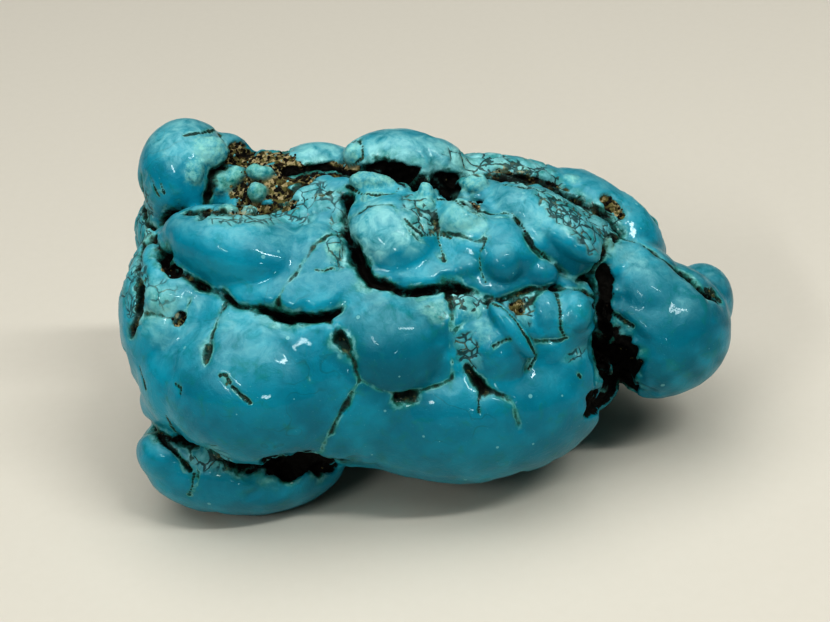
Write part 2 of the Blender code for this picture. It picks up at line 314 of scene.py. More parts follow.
# %% The lumps: across, down, near, half width, half height, half depth, turn in degrees
LUMPS = {
    "heart": (40.5, 33.0, 0.0, 24.5, 13.8, 14.0, 0),
    "crown": (44.5, 25.0, 0.0, 21.0, 8.4, 10.5, -9),
    "front": (36.0, 34.0, 4.0, 19.5, 13.0, 10.5, 0),
    "knob": (18.7, 17.5, -1.9, 4.9, 5.7, 6.0, 0),
    "knob_back": (22.6, 15.7, -4.0, 2.9, 2.4, 3.5, 0),
    "knob_neck": (21.0, 23.4, -6.8, 7.5, 7.5, 8.0, 0),
    "saddle": (27.0, 17.5, -3.0, 3.6, 2.7, 4.5, 0),
    "hollow": (29.0, 21.8, -2.0, 7.5, 7.0, 7.5, 0),
    "wedge": (25.3, 25.7, 5.0, 9.5, 4.7, 8.0, -18),
    "wedge_side": (32.0, 27.0, 7.0, 4.5, 5.0, 5.5, 0),
    "cheek": (18.9, 31.6, 1.0, 6.9, 9.8, 9.5, 0),
    "boulder": (26.2, 38.3, 6.5, 10.2, 8.4, 8.5, 0),
    "boulder_side": (19.8, 37.3, 3.6, 6.0, 6.6, 7.6, 10),
    "flank": (18.8, 40.0, 1.0, 4.7, 3.5, 6.5, 0),
    "foot": (24.6, 46.3, 0.0, 10.0, 5.25, 6.5, 2),
    "toe": (17.3, 45.2, 0.5, 3.6, 3.3, 5.0, -20),
    "centre": (39.3, 34.3, 9.5, 6.8, 6.4, 6.4, 0),
    "belly": (46.5, 39.6, 3.5, 14.2, 8.7, 10.0, 3),
    "belly_end": (54.6, 37.2, 3.5, 5.8, 8.2, 7.5, 0),
    "brow": (39.3, 24.4, 8.5, 5.2, 4.9, 5.0, 0),
    "brow_right": (49.5, 25.3, 8.0, 6.5, 4.2, 4.6, -8),
    "brow_chip": (46.3, 22.2, 9.0, 2.9, 2.5, 3.0, 0),
    "oval": (54.6, 23.4, 5.8, 7.2, 4.0, 5.2, -36),
    "crescent": (49.8, 34.5, 10.0, 4.2, 5.0, 4.4, 0),
    "twins": (55.8, 31.8, 7.5, 4.4, 3.8, 4.8, 0),
    "heel": (64.6, 30.4, 0.5, 4.8, 7.4, 7.0, 32),
    "heel_tip": (65.5, 32.9, 0.5, 7.6, 6.95, 7.3, 0),
    "heel_knob": (70.0, 30.2, -3.0, 3.3, 3.9, 4.2, 0),
    "ridge": (40.7, 16.9, 0.5, 6.8, 4.0, 6.0, -8),
    "ridge_left": (32.0, 17.2, -2.5, 4.8, 3.0, 4.5, 0),
    "ridge_right": (51.5, 19.6, -2.5, 8.5, 4.0, 6.5, -14),
    "shoulder": (59.0, 22.4, -3.5, 7.3, 4.6, 6.5, -39),
    "shoulder_end": (61.2, 23.9, -3.0, 5.9, 4.75, 6.0, -42),
    "back_left": (25.5, 28.0, -10.5, 9.5, 9.5, 6.5, 0),
    "back_middle": (39.0, 27.5, -11.5, 10.5, 10.0, 6.5, 0),
    "back_right": (53.5, 30.0, -10.0, 10.5, 8.0, 6.5, -10),
    "back_foot": (35.0, 37.3, -10.3, 12.5, 6.8, 6.3, 0),
    "back_heel": (51.5, 37.3, -8.3, 9.0, 6.2, 6.0, 0),
}
SKIN_CELL = 0.25
FUSE_ROUNDING = 12


# %% Fuse the lumps
def lump_matrix(across, down, near, half_width, half_height, half_depth, turn):
    """Turns a unit ball into a lump whose outline, seen from the eye, is the one drawn on the sheet."""
    shrink = 1 - near / EYE_DISTANCE
    middle = EYE + (on_sheet(across, down) - EYE) * shrink
    sizes = Matrix.Diagonal((half_width * shrink, half_height * shrink, half_depth, 1))
    return Matrix.Translation(middle) @ SHEET_AXES @ Matrix.Rotation(math.radians(turn), 4, "Z") @ sizes


def ball_mesh(name, matrices, roundness):
    """One mesh of balls, each shaped and placed by its matrix."""
    work = bmesh.new()
    for matrix in matrices:
        bmesh.ops.create_icosphere(work, subdivisions=roundness, radius=1, matrix=matrix)
    return mesh_from(name, work)


pile = ball_mesh("lumps", [lump_matrix(*place) for place in LUMPS.values()], 4)
fused = reskinned(pile, SKIN_CELL, FUSE_ROUNDING)
print("fused skin:", len(LUMPS), "lumps,", len(fused.vertices), "points")

# %% [markdown]
# ## The seams
#
# Where two lumps met, a seam of soft rock was left, and tumbling wore it down into a groove. Each seam is
# a line drawn on the sheet. Sight lines from the eye carry it onto the skin, and the points where they
# arrive are kept with the seam's width and depth. The great seams part whole lumps. The cracks are finer
# and run within them.

# %% The great seams: half width, depth, and the line on the sheet as across and down
SEAMS = {
    "under_knob": (0.38, 2.0, [(16.0, 22.3), (16.8, 21.3), (18.3, 20.9), (20.3, 20.9), (22.0, 20.9)]),
    "hollow_edge": (0.22, 0.6, [
        (22.0, 21.3), (24.0, 21.1), (26.0, 21.3), (27.5, 20.8), (28.5, 19.3), (30.5, 17.5)]),
    "knob_side": (0.34, 1.4, [
        (21.7, 12.8), (22.6, 14.2), (23.0, 15.8), (21.2, 17.4), (21.0, 19.5), (20.2, 21.5)]),
    "left_cleft": (0.35, 1.6, [(13.9, 17.5), (14.0, 20.5), (14.6, 22.5), (15.4, 24.0), (15.8, 25.6)]),
    "middle_seam": (0.30, 2.0, [
        (15.3, 25.3), (17.6, 27.3), (20.1, 28.6), (22.1, 29.6), (23.8, 30.5), (26.0, 30.5)]),
    "middle_gape": (0.55, 3.9, [(25.6, 30.6), (27.3, 31.1), (28.8, 31.9), (30.6, 31.7)]),
    "middle_end": (0.36, 2.6, [(30.6, 31.7), (32.8, 31.6), (33.9, 30.8)]),
    "boulder_right": (0.14, 0.9, [
        (32.9, 31.8), (34.4, 34.7), (35.5, 36.5), (35.8, 38.3), (34.1, 41.2), (32.0, 45.6)]),
    "foot_left": (0.40, 2.1, [
        (14.2, 42.6), (16.7, 44.1), (18.5, 44.3), (20.7, 45.3), (22.4, 46.4), (23.8, 47.1)]),
    "foot_gape": (0.90, 4.7, [
        (23.8, 47.1), (26.2, 47.1), (28.2, 46.5), (30.2, 46.0), (32.0, 46.1), (34.5, 46.8)]),
    "foot_split": (0.16, 1.0, [(18.6, 44.3), (19.2, 46.2), (19.8, 47.3), (19.3, 49.5)]),
    "cheek_crack": (0.16, 0.9, [(22.3, 30.4), (21.6, 32.2), (20.9, 34.6), (20.6, 36.6)]),
    "cheek_pocket": (0.19, 0.8, [
        (14.7, 31.3), (16.0, 31.5), (17.4, 31.9), (18.1, 32.3), (18.7, 31.0), (19.0, 30.0)]),
    "left_crack": (0.32, 1.3, [(14.1, 24.5), (13.4, 26.5), (14.1, 30.0), (13.8, 31.3), (12.9, 33.2)]),
    "wedge_right": (0.16, 0.8, [(34.2, 23.4), (32.7, 23.5), (31.8, 24.3), (29.6, 27.0), (27.8, 30.2)]),
    "brow_left": (0.58, 2.4, [
        (34.6, 19.6), (34.3, 20.9), (34.4, 22.5), (34.9, 23.8), (36.0, 26.6), (37.2, 28.0)]),
    "belt": (0.50, 2.6, [
        (37.2, 28.0), (38.8, 28.4), (40.5, 29.0), (42.2, 29.0), (44.2, 28.6), (46.3, 28.7)]),
    "belt_right": (0.25, 2.0, [
        (46.3, 28.7), (48.4, 29.6), (50.3, 29.9), (53.2, 28.9), (57.3, 28.7), (60.0, 29.8)]),
    "oval_edge": (0.21, 1.6, [
        (46.2, 20.0), (48.8, 21.6), (51.6, 21.7), (53.3, 24.9), (55.7, 26.7), (57.9, 28.0)]),
    "oval_end": (0.42, 1.9, [(57.9, 28.0), (59.5, 27.6), (60.5, 25.5), (61.0, 24.2), (61.8, 23.5)]),
    "great_cleft": (0.80, 6.5, [
        (59.6, 28.0), (60.2, 29.3), (60.4, 31.0), (60.9, 33.5), (61.4, 36.0), (61.3, 40.5)]),
    "cleft_middle": (0.80, 6.5, [(60.9, 32.8), (61.7, 35.0), (62.3, 37.0), (62.5, 40.2)]),
    "cleft_right": (0.75, 5.0, [(61.6, 35.0), (62.7, 36.8), (63.0, 39.9)]),
    "heel_top": (0.17, 1.2, [(61.8, 23.5), (64.0, 24.3), (65.4, 25.1), (66.5, 25.9), (67.6, 26.8)]),
    "heel_notch": (0.45, 2.6, [(67.6, 26.8), (69.0, 27.4), (69.7, 28.5), (70.8, 29.2), (71.9, 29.7)]),
    "ridge_trench": (0.60, 2.4, [
        (29.0, 16.6), (31.7, 16.4), (35.7, 17.1), (38.3, 16.4), (40.2, 17.5), (43.3, 18.1)]),
    "ridge_cave": (1.00, 3.6, [(37.6, 16.5), (39.3, 16.6), (40.8, 17.4), (42.2, 18.2)]),
    "ridge_hole": (1.45, 6.5, [(44.4, 17.7), (44.9, 18.2), (45.4, 18.9)]),
    "cavity": (0.80, 3.0, [(15.3, 24.9), (15.9, 25.5), (16.3, 26.0)]),
    "shoulder_trench": (0.42, 1.6, [
        (45.5, 17.2), (49.3, 17.4), (53.9, 17.8), (57.9, 19.8), (61.0, 21.4), (62.3, 23.2)]),
    "brow_top": (0.13, 0.8, [
        (34.8, 21.8), (36.0, 21.2), (36.8, 20.5), (38.0, 20.3), (39.2, 20.4), (40.3, 22.2)]),
    "brow_right": (0.12, 0.7, [(40.3, 22.2), (41.6, 23.5), (43.2, 24.8), (44.0, 25.8)]),
    "chip_under": (0.13, 0.8, [
        (43.3, 19.6), (43.4, 22.9), (46.0, 23.5), (48.0, 24.2), (48.9, 22.6), (48.6, 21.5)]),
    "centre_right": (0.15, 1.2, [(44.8, 29.2), (45.3, 31.6), (45.0, 33.6), (45.2, 36.0), (45.2, 39.0)]),
    "centre_under": (0.13, 0.8, [(35.9, 38.1), (39.5, 39.6), (41.6, 39.2), (44.2, 38.5), (45.2, 37.8)]),
    "crescent_right": (0.18, 1.3, [
        (48.0, 30.0), (50.2, 30.4), (51.4, 31.6), (52.5, 33.1), (53.5, 35.3), (52.8, 36.9)]),
    "crescent_left": (0.13, 0.8, [(47.6, 30.2), (48.1, 31.6), (46.4, 32.2), (45.4, 33.4)]),
    "web_black": (0.42, 1.6, [(46.7, 36.6), (47.3, 37.4), (47.9, 38.4), (48.4, 39.3)]),
    "belly_branch": (0.16, 0.9, [(48.4, 38.9), (50.3, 39.5), (51.2, 40.3), (51.6, 41.6), (52.1, 42.8)]),
    "twins_edge": (0.14, 0.9, [
        (54.8, 28.8), (52.4, 31.0), (52.1, 32.3), (53.2, 34.0), (55.5, 34.2), (56.7, 33.8)]),
}

# %% The cracks: half width, depth, and the line on the sheet as across and down
CRACKS = {
    "boulder_chip": (0.16, 0.55, [(23.2, 38.7), (23.9, 39.4), (24.7, 40.0), (25.0, 40.3)]),
    "chip_rim": (0.11, 0.25, [(22.0, 37.6), (22.6, 37.5), (23.0, 38.2), (22.7, 38.4)]),
    "mid_crease": (0.11, 0.40, [(48.6, 23.9), (48.0, 25.2), (48.0, 26.8), (48.6, 28.2)]),
    "oval_line": (0.10, 0.30, [(50.0, 18.5), (53.3, 18.7), (56.5, 20.0), (59.6, 21.9)]),
    "wedge_mark": (0.10, 0.25, [(31.6, 26.9), (32.5, 27.0), (33.4, 26.8)]),
    "cheek_nick": (0.10, 0.25, [(17.6, 38.4), (18.1, 38.8), (18.0, 39.4)]),
    "side_nick": (0.10, 0.25, [(13.9, 36.6), (14.3, 37.8), (14.5, 38.9)]),
    "foot_branch": (0.28, 1.20, [(16.0, 43.7), (17.3, 44.9), (18.4, 46.2), (19.0, 47.0)]),
    "foot_line": (0.18, 0.50, [(19.4, 47.4), (19.2, 48.6), (18.9, 49.5)]),
    "flank_line": (0.13, 0.30, [(16.6, 41.6), (17.3, 42.9), (18.2, 43.9)]),
    "knob_crown": (0.13, 0.35, [(18.5, 13.5), (20.0, 13.2), (21.5, 13.0)]),
    "heel_branch": (0.17, 0.60, [(60.9, 31.0), (62.1, 31.9), (63.2, 32.6)]),
    "belly_line": (0.13, 0.30, [(48.0, 39.2), (47.9, 40.2), (47.9, 41.3)]),
    "twins_crease": (0.10, 0.35, [(55.6, 29.3), (56.1, 31.0), (56.0, 32.8), (56.6, 33.8)]),
    "pebble_under": (0.15, 0.60, [(34.8, 18.6), (36.0, 19.3), (37.8, 19.5), (39.5, 19.4), (40.0, 18.6)]),
    "hollow_line": (0.10, 0.35, [(28.3, 20.2), (30.5, 20.0), (32.0, 19.5), (33.0, 19.2)]),
    "ridge_pebble": (0.13, 0.60, [(34.3, 14.5), (35.8, 13.9), (36.2, 14.6), (36.3, 15.8), (35.0, 16.6)]),
    "knob_scratch": (0.08, 0.20, [(14.9, 17.6), (15.3, 18.6), (15.8, 19.6)]),
    "knob_scratch_two": (0.08, 0.15, [(15.8, 17.5), (16.1, 18.4), (16.4, 19.3)]),
    "heel_crack": (0.24, 0.40, [(70.6, 29.0), (71.2, 29.3), (72.0, 30.0)]),
    "brow_web": (0.11, 0.40, [(40.5, 21.9), (42.3, 23.6), (43.6, 23.4), (45.0, 23.8)]),
    "brow_fork": (0.12, 0.40, [(43.6, 21.0), (43.7, 22.5), (43.9, 24.2), (44.4, 26.0)]),
    "slot": (0.42, 0.90, [(39.7, 39.7), (40.3, 39.8), (41.0, 39.6)]),
    "pit_boulder": (0.55, 0.90, [(34.0, 33.8), (34.4, 34.3), (34.7, 34.8)]),
    "pit_cheek": (0.35, 0.60, [(20.9, 34.7), (20.8, 35.4), (20.6, 36.2)]),
    "crescent_rim": (0.11, 0.50, [
        (48.4, 30.0), (50.2, 30.6), (51.6, 32.0), (52.9, 33.9), (53.7, 35.6), (53.0, 36.9)]),
    "chip_rim_top": (0.11, 0.40, [(43.8, 19.9), (45.2, 19.9), (46.8, 21.0), (48.7, 22.0)]),
    "oval_rim": (0.13, 0.50, [
        (47.6, 20.9), (49.0, 21.4), (51.2, 21.3), (52.2, 22.6), (53.4, 24.7), (55.0, 26.1)]),
    "pit_side": (0.16, 0.30, [(57.9, 37.5), (58.1, 37.7)]),
    "pit_heel": (0.40, 0.60, [(71.3, 29.1), (71.5, 29.3)]),
    "pit_crescent": (0.20, 0.40, [(49.3, 34.6), (50.0, 34.2), (50.9, 33.9)]),
    "cave_foot": (0.55, 1.20, [(28.4, 47.2), (28.8, 47.7)]),
    "cave_foot_two": (0.50, 1.00, [(31.8, 46.8), (32.1, 47.4)]),
    "slit_left": (0.45, 1.00, [(14.0, 28.9), (14.1, 30.0), (13.9, 31.0)]),
}
SEAM_STEP = 0.3
SEAM_JUMP = 4.0


# %% Carry the lines onto the skin
def tree_of_faces(mesh):
    """A search tree that finds where a ray meets the mesh."""
    work = bmesh.new()
    work.from_mesh(mesh)
    faces = BVHTree.FromBMesh(work)
    work.free()
    return faces


def spaced(corners, step):
    """Points along a line through the corners, a step apart."""
    corners = np.array(corners)
    along = np.append(0, np.cumsum(np.linalg.norm(np.diff(corners, axis=0), axis=1)))
    stops = np.linspace(0, along[-1], max(2, math.ceil(along[-1] / step)))
    return np.stack([np.interp(stops, along, column) for column in corners.T], axis=1)


def traced(faces, table):
    """Rows of x, y, z, width and depth along each line of the table, where it meets the skin."""
    rows = []
    for width, depth, corners in table.values():
        sights = [(on_sheet(*place) - EYE).normalized() for place in spaced(corners, SEAM_STEP)]
        hits = [faces.ray_cast(EYE, sight)[0] for sight in sights]
        hits = [hit for hit in hits if hit is not None]
        near = [pair for pair in zip(hits, hits[1:]) if math.dist(*pair) < SEAM_JUMP]
        rows += [(*point, width, depth) for pair in near for point in spaced(pair, SEAM_STEP)]
    return np.array(rows)


great_rows = traced(tree_of_faces(fused), SEAMS)
print("great seams:", len(SEAMS), "lines,", len(great_rows), "points")

# %% [markdown]
# The far side has no drawing. It is split into cells instead, around points that are strewn a golden
# angle apart, which is how sunflower seeds share a disc evenly. The skin's own points that lie on a
# border between two cells, and face away from the eye, join the seam points.

# %% The far side's cells
CELL_COUNT = 20
CELL_SEED = 7
CELL_NUDGE = 0.16
CELL_SEAM_WIDTH, CELL_SEAM_DEPTH = 0.42, 1.8
STONE_HALVES = (30.0, 16.0, 16.5)
BORDER_HALF = 0.16
FAR_SIDE_STARTS = 0.03


def cell_middles():
    """Points strewn evenly over the stone, and nudged off their places."""
    order = np.arange(CELL_COUNT) + 0.5
    polar, turn = np.arccos(1 - 2 * order / CELL_COUNT), math.pi * (1 + math.sqrt(5)) * order
    ways = np.stack([np.cos(turn) * np.sin(polar), np.sin(turn) * np.sin(polar), np.cos(polar)], 1)
    nudge = np.random.default_rng(CELL_SEED).normal(0, CELL_NUDGE, ways.shape)
    return np.array(SHEET_MIDDLE) + (ways + nudge) * np.array(STONE_HALVES)


def faces_eye(points, normals):
    """The cosine of the angle between the skin's normal and the way to the eye."""
    to_eye = np.array(EYE) - points
    return (normals * to_eye).sum(1) / np.linalg.norm(to_eye, axis=1)


def far_rows(mesh):
    """Rows of x, y, z, width and depth for the skin's points on the borders of the cells."""
    points, normals = vertex_values(mesh, "co"), vertex_values(mesh, "normal")
    waver = 1.1 * np.sin(points[:, [1, 2, 0]] * 0.55) + 0.5 * np.sin(points[:, [2, 0, 1]] * 1.3)
    away = np.linalg.norm((points + waver)[:, None, :] - cell_middles()[None], axis=2)
    away.sort(axis=1)
    on_border = (away[:, 1] - away[:, 0]) / 2 < BORDER_HALF
    on_border &= faces_eye(points, normals) < FAR_SIDE_STARTS
    size = np.tile((CELL_SEAM_WIDTH, CELL_SEAM_DEPTH), (on_border.sum(), 1))
    return np.hstack([points[on_border], size])


strewn_rows = far_rows(fused)
print("far side:", CELL_COUNT, "cells,", len(strewn_rows), "border points")


# %% Keep the seam points as guides
def guide(name, rows):
    """An object that holds the seam points, with their widths and depths."""
    mesh = bpy.data.meshes.new(name)
    mesh.from_pydata(rows[:, :3].tolist(), [], [])
    keep_values(mesh, "width", rows[:, 3])
    keep_values(mesh, "depth", rows[:, 4])
    return linked(name, mesh)


great_guide = guide("great_seams", np.vstack([great_rows, strewn_rows]))
print("guide:", len(great_guide.data.vertices), "points")

# %% [markdown]
# ## Pressing the seams
#
# One geometry tree presses any set of guides into a skin. For each point of the skin it finds the nearest
# guide point, reads how wide and deep the seam is there, and moves the skin inwards: a narrow groove with
# a long soft shoulder on each side. The place is drifted by a little noise before it is measured, so the
# seam wavers as a crack in stone does. How far each point lies from its seam, in seam widths, stays on
# the mesh as "gap", and how deep it lies in a groove as "shade". The material needs them to know where
# the rock shows, and how black to paint it, as painted shade, deep in a groove.

# %% The tree that presses seams
turquoise = bpy.data.materials.new("polished_turquoise")
GAP_END = 4.0
BLEND_PASSES = 6
PINCH_SCALE = 0.4
PINCH_EDGE = (0.25, 0.75)
LEAST_WIDTH, WIDTH_SWING = 0.55, 0.9
LEAST_DEPTH, DEPTH_SWING = 0.75, 0.5


def read_guide(guides, index, name):
    """A number of the nearest guide point, blended softly where one seam gives way to another."""
    inputs = {"Geometry": guides, "Value": named(guides.tree, name), "Index": index}
    there = take(guides.tree, "GeometryNodeSampleIndex", "Value", inputs)
    inputs = {"Value": there, "Iterations": BLEND_PASSES}
    return take(guides.tree, "GeometryNodeBlurAttribute", "Value", inputs)


def broad_normal(tree, breadth):
    """The way out of the skin, evened out over many points."""
    inputs = {"Value": take(tree, "GeometryNodeInputNormal", "Normal"), "Iterations": breadth}
    broad = take(tree, "GeometryNodeBlurAttribute", "Value", inputs, data_type="FLOAT_VECTOR")
    return vector_calc("NORMALIZE", broad)


def old_gap(tree):
    """The gap that an earlier pressing left, or the widest one."""
    old = add(tree, "GeometryNodeInputNamedAttribute", {"Name": "gap"}, data_type="FLOAT").outputs
    inputs = {"Switch": Signal(old["Exists"]), "False": GAP_END, "True": Signal(old["Attribute"])}
    return take(tree, "GeometryNodeSwitch", "Output", inputs, input_type="FLOAT")


def moved(geometry, way, goal, material):
    """Moves the skin's points and ends the tree."""
    inputs = {"Geometry": geometry, "Offset": way}
    close_tree(take(geometry.tree, "GeometryNodeSetPosition", "Geometry", inputs), material, goal)


def seam_press_tree():
    """Presses the guides' seams into a skin, and keeps the gap and the shade."""
    inputs = {"guides": ("Object", None), "drift": ("Float", 0.8), "drift_scale": ("Float", 0.5)}
    inputs |= {"reach": ("Float", 4.5), "share": ("Float", 0.18), "breadth": ("Int", 200)}
    tree, given, result = skin_tree("press_seams", inputs)
    guides = take(tree, "GeometryNodeObjectInfo", "Geometry", {"Object": given["guides"]})
    spot = take(tree, "GeometryNodeInputPosition", 0)
    place = drifted(spot, given["drift_scale"], given["drift"])
    inputs = {"Geometry": guides, "Sample Position": place}
    index = take(tree, "GeometryNodeSampleNearest", "Index", inputs)
    inputs = {"Geometry": guides, "Value": spot, "Index": index}
    nearest = take(tree, "GeometryNodeSampleIndex", "Value", inputs, data_type="FLOAT_VECTOR")
    away = take(tree, "ShaderNodeVectorMath", "Value", {0: place, 1: nearest}, operation="DISTANCE")
    width, depth = [read_guide(guides, index, name) for name in ("width", "depth")]
    pinch = faded(noise(place, PINCH_SCALE, 1.0), *PINCH_EDGE)
    gap = calc("MINIMUM", away / (width * (pinch * WIDTH_SWING + LEAST_WIDTH)), GAP_END)
    groove = left_over(gap)
    shoulder = 1.0 - faded(gap, 0.0, given["reach"])
    strength = (pinch * DEPTH_SWING + LEAST_DEPTH) * depth
    inward = (groove + (shoulder - groove) * given["share"]) * strength * -1.0
    marked = stored(given["skin"], "gap", calc("MINIMUM", gap, old_gap(tree)))
    shade = calc("MAXIMUM", strength * left_over(gap * 0.5), named(tree, "shade"))
    marked = stored(marked, "shade", shade)
    way = scaled(broad_normal(tree, given["breadth"]), inward)
    moved(marked, way, result["skin"], given["material"])
    return tree


PRESS = seam_press_tree()
pressed = through(fused, PRESS, guides=great_guide, drift=0.9, breadth=250, material=turquoise)
narrowest = float(kept_values(pressed, "gap").min())
print("pressed:", len(pressed.vertices), "points, narrowest gap", round(narrowest, 3))

# %% [markdown]
# ## Nodules
#
# In the brown pocket beside the knob, and along the ridge, small nodules of turquoise sit in the rock like
# peas in dough. Each is a ball that stands on the skin where its sight line meets it, sunk by a part of
# its own depth, and slightly flat. Some lumps are no more than low domes, which are laid on in the same
# way. All are laid into the pressed skin before the second remesh, so that they grow out of the stone
# instead of lying on it.

# %% The nodules: across, down, half width, half height, turn, and how far they stand out in mm
NODULES = {
    "knob_lump": (20.8, 15.3, 2.1, 1.7, 10, 0.9),
    "knob_lump_low": (19.5, 17.2, 0.9, 1.3, 0, 0.6),
    "cluster_left": (22.1, 18.3, 1.2, 1.3, 20, 0.9),
    "cluster_right": (23.5, 17.7, 1.3, 1.2, -30, 0.8),
    "lozenge": (26.0, 17.2, 1.5, 0.7, -8, 0.7),
    "round_one": (25.7, 19.2, 1.0, 0.95, 0, 0.9),
    "small_pale": (25.0, 21.0, 0.7, 0.5, 10, 0.5),
    "sandy_left": (22.9, 20.9, 0.9, 0.6, -10, 0.4),
    "pebble_long": (37.2, 18.2, 2.4, 1.0, -6, 1.0),
    "pebble_under": (37.3, 19.8, 1.2, 0.65, -3, 0.5),
    "ridge_pebble": (35.3, 15.4, 1.0, 1.15, -15, 0.6),
    "hole_pebble": (47.5, 18.4, 1.4, 1.0, 20, 0.8),
    "hole_lobe": (42.7, 19.7, 0.9, 1.6, 10, 0.7),
    "hole_lobe_low": (42.3, 20.6, 1.1, 0.8, 0, 0.4),
    "wedge_round": (33.4, 25.2, 0.9, 0.9, 0, 0.45),
    "cavity_lozenge": (14.8, 23.8, 0.45, 1.1, -15, 0.5),
    "grit_olive": (60.6, 24.8, 0.6, 1.2, -20, 0.4),
    "shoulder_pea": (50.2, 16.6, 0.8, 0.55, -15, 0.3),
    "shoulder_pea_two": (52.2, 17.1, 0.7, 0.5, -10, 0.3),
    "shoulder_pea_three": (57.2, 18.0, 0.8, 0.5, -20, 0.3),
}
DOMES = {
    "dome_round": (50.2, 26.2, 2.2, 2.4, 0, 0.8),
    "dome_right": (53.7, 27.2, 2.2, 1.6, -20, 0.6),
    "oval_crest": (56.9, 24.1, 1.4, 3.6, 58, 0.9),
    "dome_left": (46.6, 26.9, 1.9, 1.6, 0, 0.5),
    "wedge_pea": (33.4, 24.6, 1.0, 1.1, 0, 0.5),
    "crescent_top": (51.2, 33.0, 1.2, 3.6, 38, 0.9),
    "twin_left": (54.5, 31.2, 1.7, 2.2, 0, 0.6),
    "twin_right": (57.6, 31.2, 1.7, 2.2, 0, 0.6),
    "cheek_round": (16.6, 30.0, 2.3, 1.8, -20, 0.6),
}


# %% Lay the nodules into the skin
FINE_CELL = 0.17
FINE_ROUNDING = 3
BALL_FLATNESS, BALL_EXTRA = 0.8, 0.2


def nodule_matrices(faces, table):
    """Where each nodule's ball goes, from where its sight line meets the pressed skin."""
    matrices = []
    for across, down, half_width, half_height, turn, proud in table.values():
        sight = on_sheet(across, down) - EYE
        hit = faces.ray_cast(EYE, sight.normalized())[0]
        near = EYE_DISTANCE * (1 - (hit - EYE).length / sight.length)
        half_depth = BALL_FLATNESS * min(half_width, half_height) + BALL_EXTRA
        sunk = near + proud - half_depth
        matrices.append(lump_matrix(across, down, sunk, half_width, half_height, half_depth, turn))
    return matrices


def joined(*meshes):
    """The meshes as one."""
    work = bmesh.new()
    for mesh in meshes:
        work.from_mesh(mesh)
    return mesh_from("joined", work)


pressed_faces = tree_of_faces(pressed)
balls = ball_mesh("nodules", nodule_matrices(pressed_faces, NODULES), 3)
domes = ball_mesh("domes", nodule_matrices(pressed_faces, DOMES), 4)
fine = reskinned(joined(pressed, domes, balls), FINE_CELL, FINE_ROUNDING)
print("nodules:", len(NODULES), "and domes:", len(DOMES), "on a skin of", len(fine.vertices), "points")

# %% [markdown]
# A remesh forgets what was kept on the old skin. A short tree reads the gap and the shade back from the
# pressed skin, and marks the places that belong to a nodule, by how near they are to its ball.

# %% The tree that carries the marks over
NODULE_EDGE = (0.04, 0.3)


def carry_tree():
    """Reads the marks back from the pressed skin and marks the nodules."""
    tree, given, result = skin_tree("carry_marks", {"source": ("Object", None), "balls": ("Object", None)})
    source, nodules = [take(tree, "GeometryNodeObjectInfo", "Geometry", {"Object": given[name]})
                       for name in ("source", "balls")]
    skin = given["skin"]
    for name in ("gap", "shade"):
        inputs = {"Mesh": source, "Value": named(tree, name)}
        carried = take(tree, "GeometryNodeSampleNearestSurface", "Value", inputs, data_type="FLOAT")
        skin = stored(skin, name, carried)
    away = take(tree, "GeometryNodeProximity", "Distance", {0: nodules}, target_element="FACES")
    skin = stored(skin, "nodule", 1.0 - faded(away, *NODULE_EDGE))
    close_tree(skin, given["material"], result["skin"])
    return tree


source, ball_object = linked("pressed_skin", pressed), linked("nodule_balls", balls)
fine = through(fine, carry_tree(), source=source, balls=ball_object, material=turquoise)
print("marked as nodule:", int((kept_values(fine, "nodule") > 0.5).sum()), "points")
for done in (source, ball_object):
    bpy.data.objects.remove(done)

# %% [markdown]
# ## Zones
#
# The stone isn't the same all over. Some patches broke into a web of small pebbles, others are bare
# pockets of rock, and others again are chipped to a rough crust. Some are deep blue, partly the stone's
# own colour and partly painted shade where the light falls less. Some are pale, partly chalky stone and
# partly painted sheen on the upper sides, and every face that looks up is painted a little paler as sheen
# too. The great gaps are painted black, for their dark rock and for their shade. Each patch is an ellipse
# on the sheet, with a wavering edge. On the far side, where the sheet says nothing, slow waves decide
# where the pebbles come through, and it is given half of the darker blue.

# %% The zones: across, down, half width, half height, turn, strength
PEBBLES = {
    "under_knob": (26.0, 21.6, 6.5, 1.0, 0, 0.6),
    "hollow_right": (31.3, 19.6, 2.8, 1.9, 0, 0.6),
    "brow_gap": (42.4, 22.4, 1.7, 1.6, -30, 1.0),
    "lobe_web": (41.4, 20.6, 1.6, 1.2, 0, 0.7),
    "brow_step": (33.6, 23.8, 1.1, 3.4, 0, 0.6),
    "oval_web": (57.2, 21.3, 4.4, 1.7, -42, 0.8),
    "oval_web_low": (59.6, 24.0, 1.2, 2.4, 20, 0.6),
    "ridge_back": (50.5, 16.7, 5.8, 1.5, -14, 1.0),
    "shoulder_web": (60.6, 21.6, 2.6, 1.5, -45, 0.8),
    "cheek_web": (16.2, 29.2, 2.2, 1.8, -20, 0.5),
    "belt_web": (47.0, 30.2, 2.6, 1.0, -6, 0.9),
    "centre_corner": (43.7, 31.0, 1.2, 1.4, 0, 0.6),
    "crescent_web": (46.8, 35.2, 1.3, 2.4, 0, 0.7),
    "left_edge": (13.4, 28.6, 1.4, 4.6, 0, 0.6),
    "twins_web": (52.6, 30.8, 1.0, 1.6, 0, 0.8),
    "belly_web": (57.7, 35.6, 1.3, 0.8, 20, 0.6),
    "foot_web": (21.2, 46.0, 2.0, 1.3, -20, 0.7),
    "left_cleft_web": (14.2, 21.6, 1.2, 3.6, 0, 0.6),
}
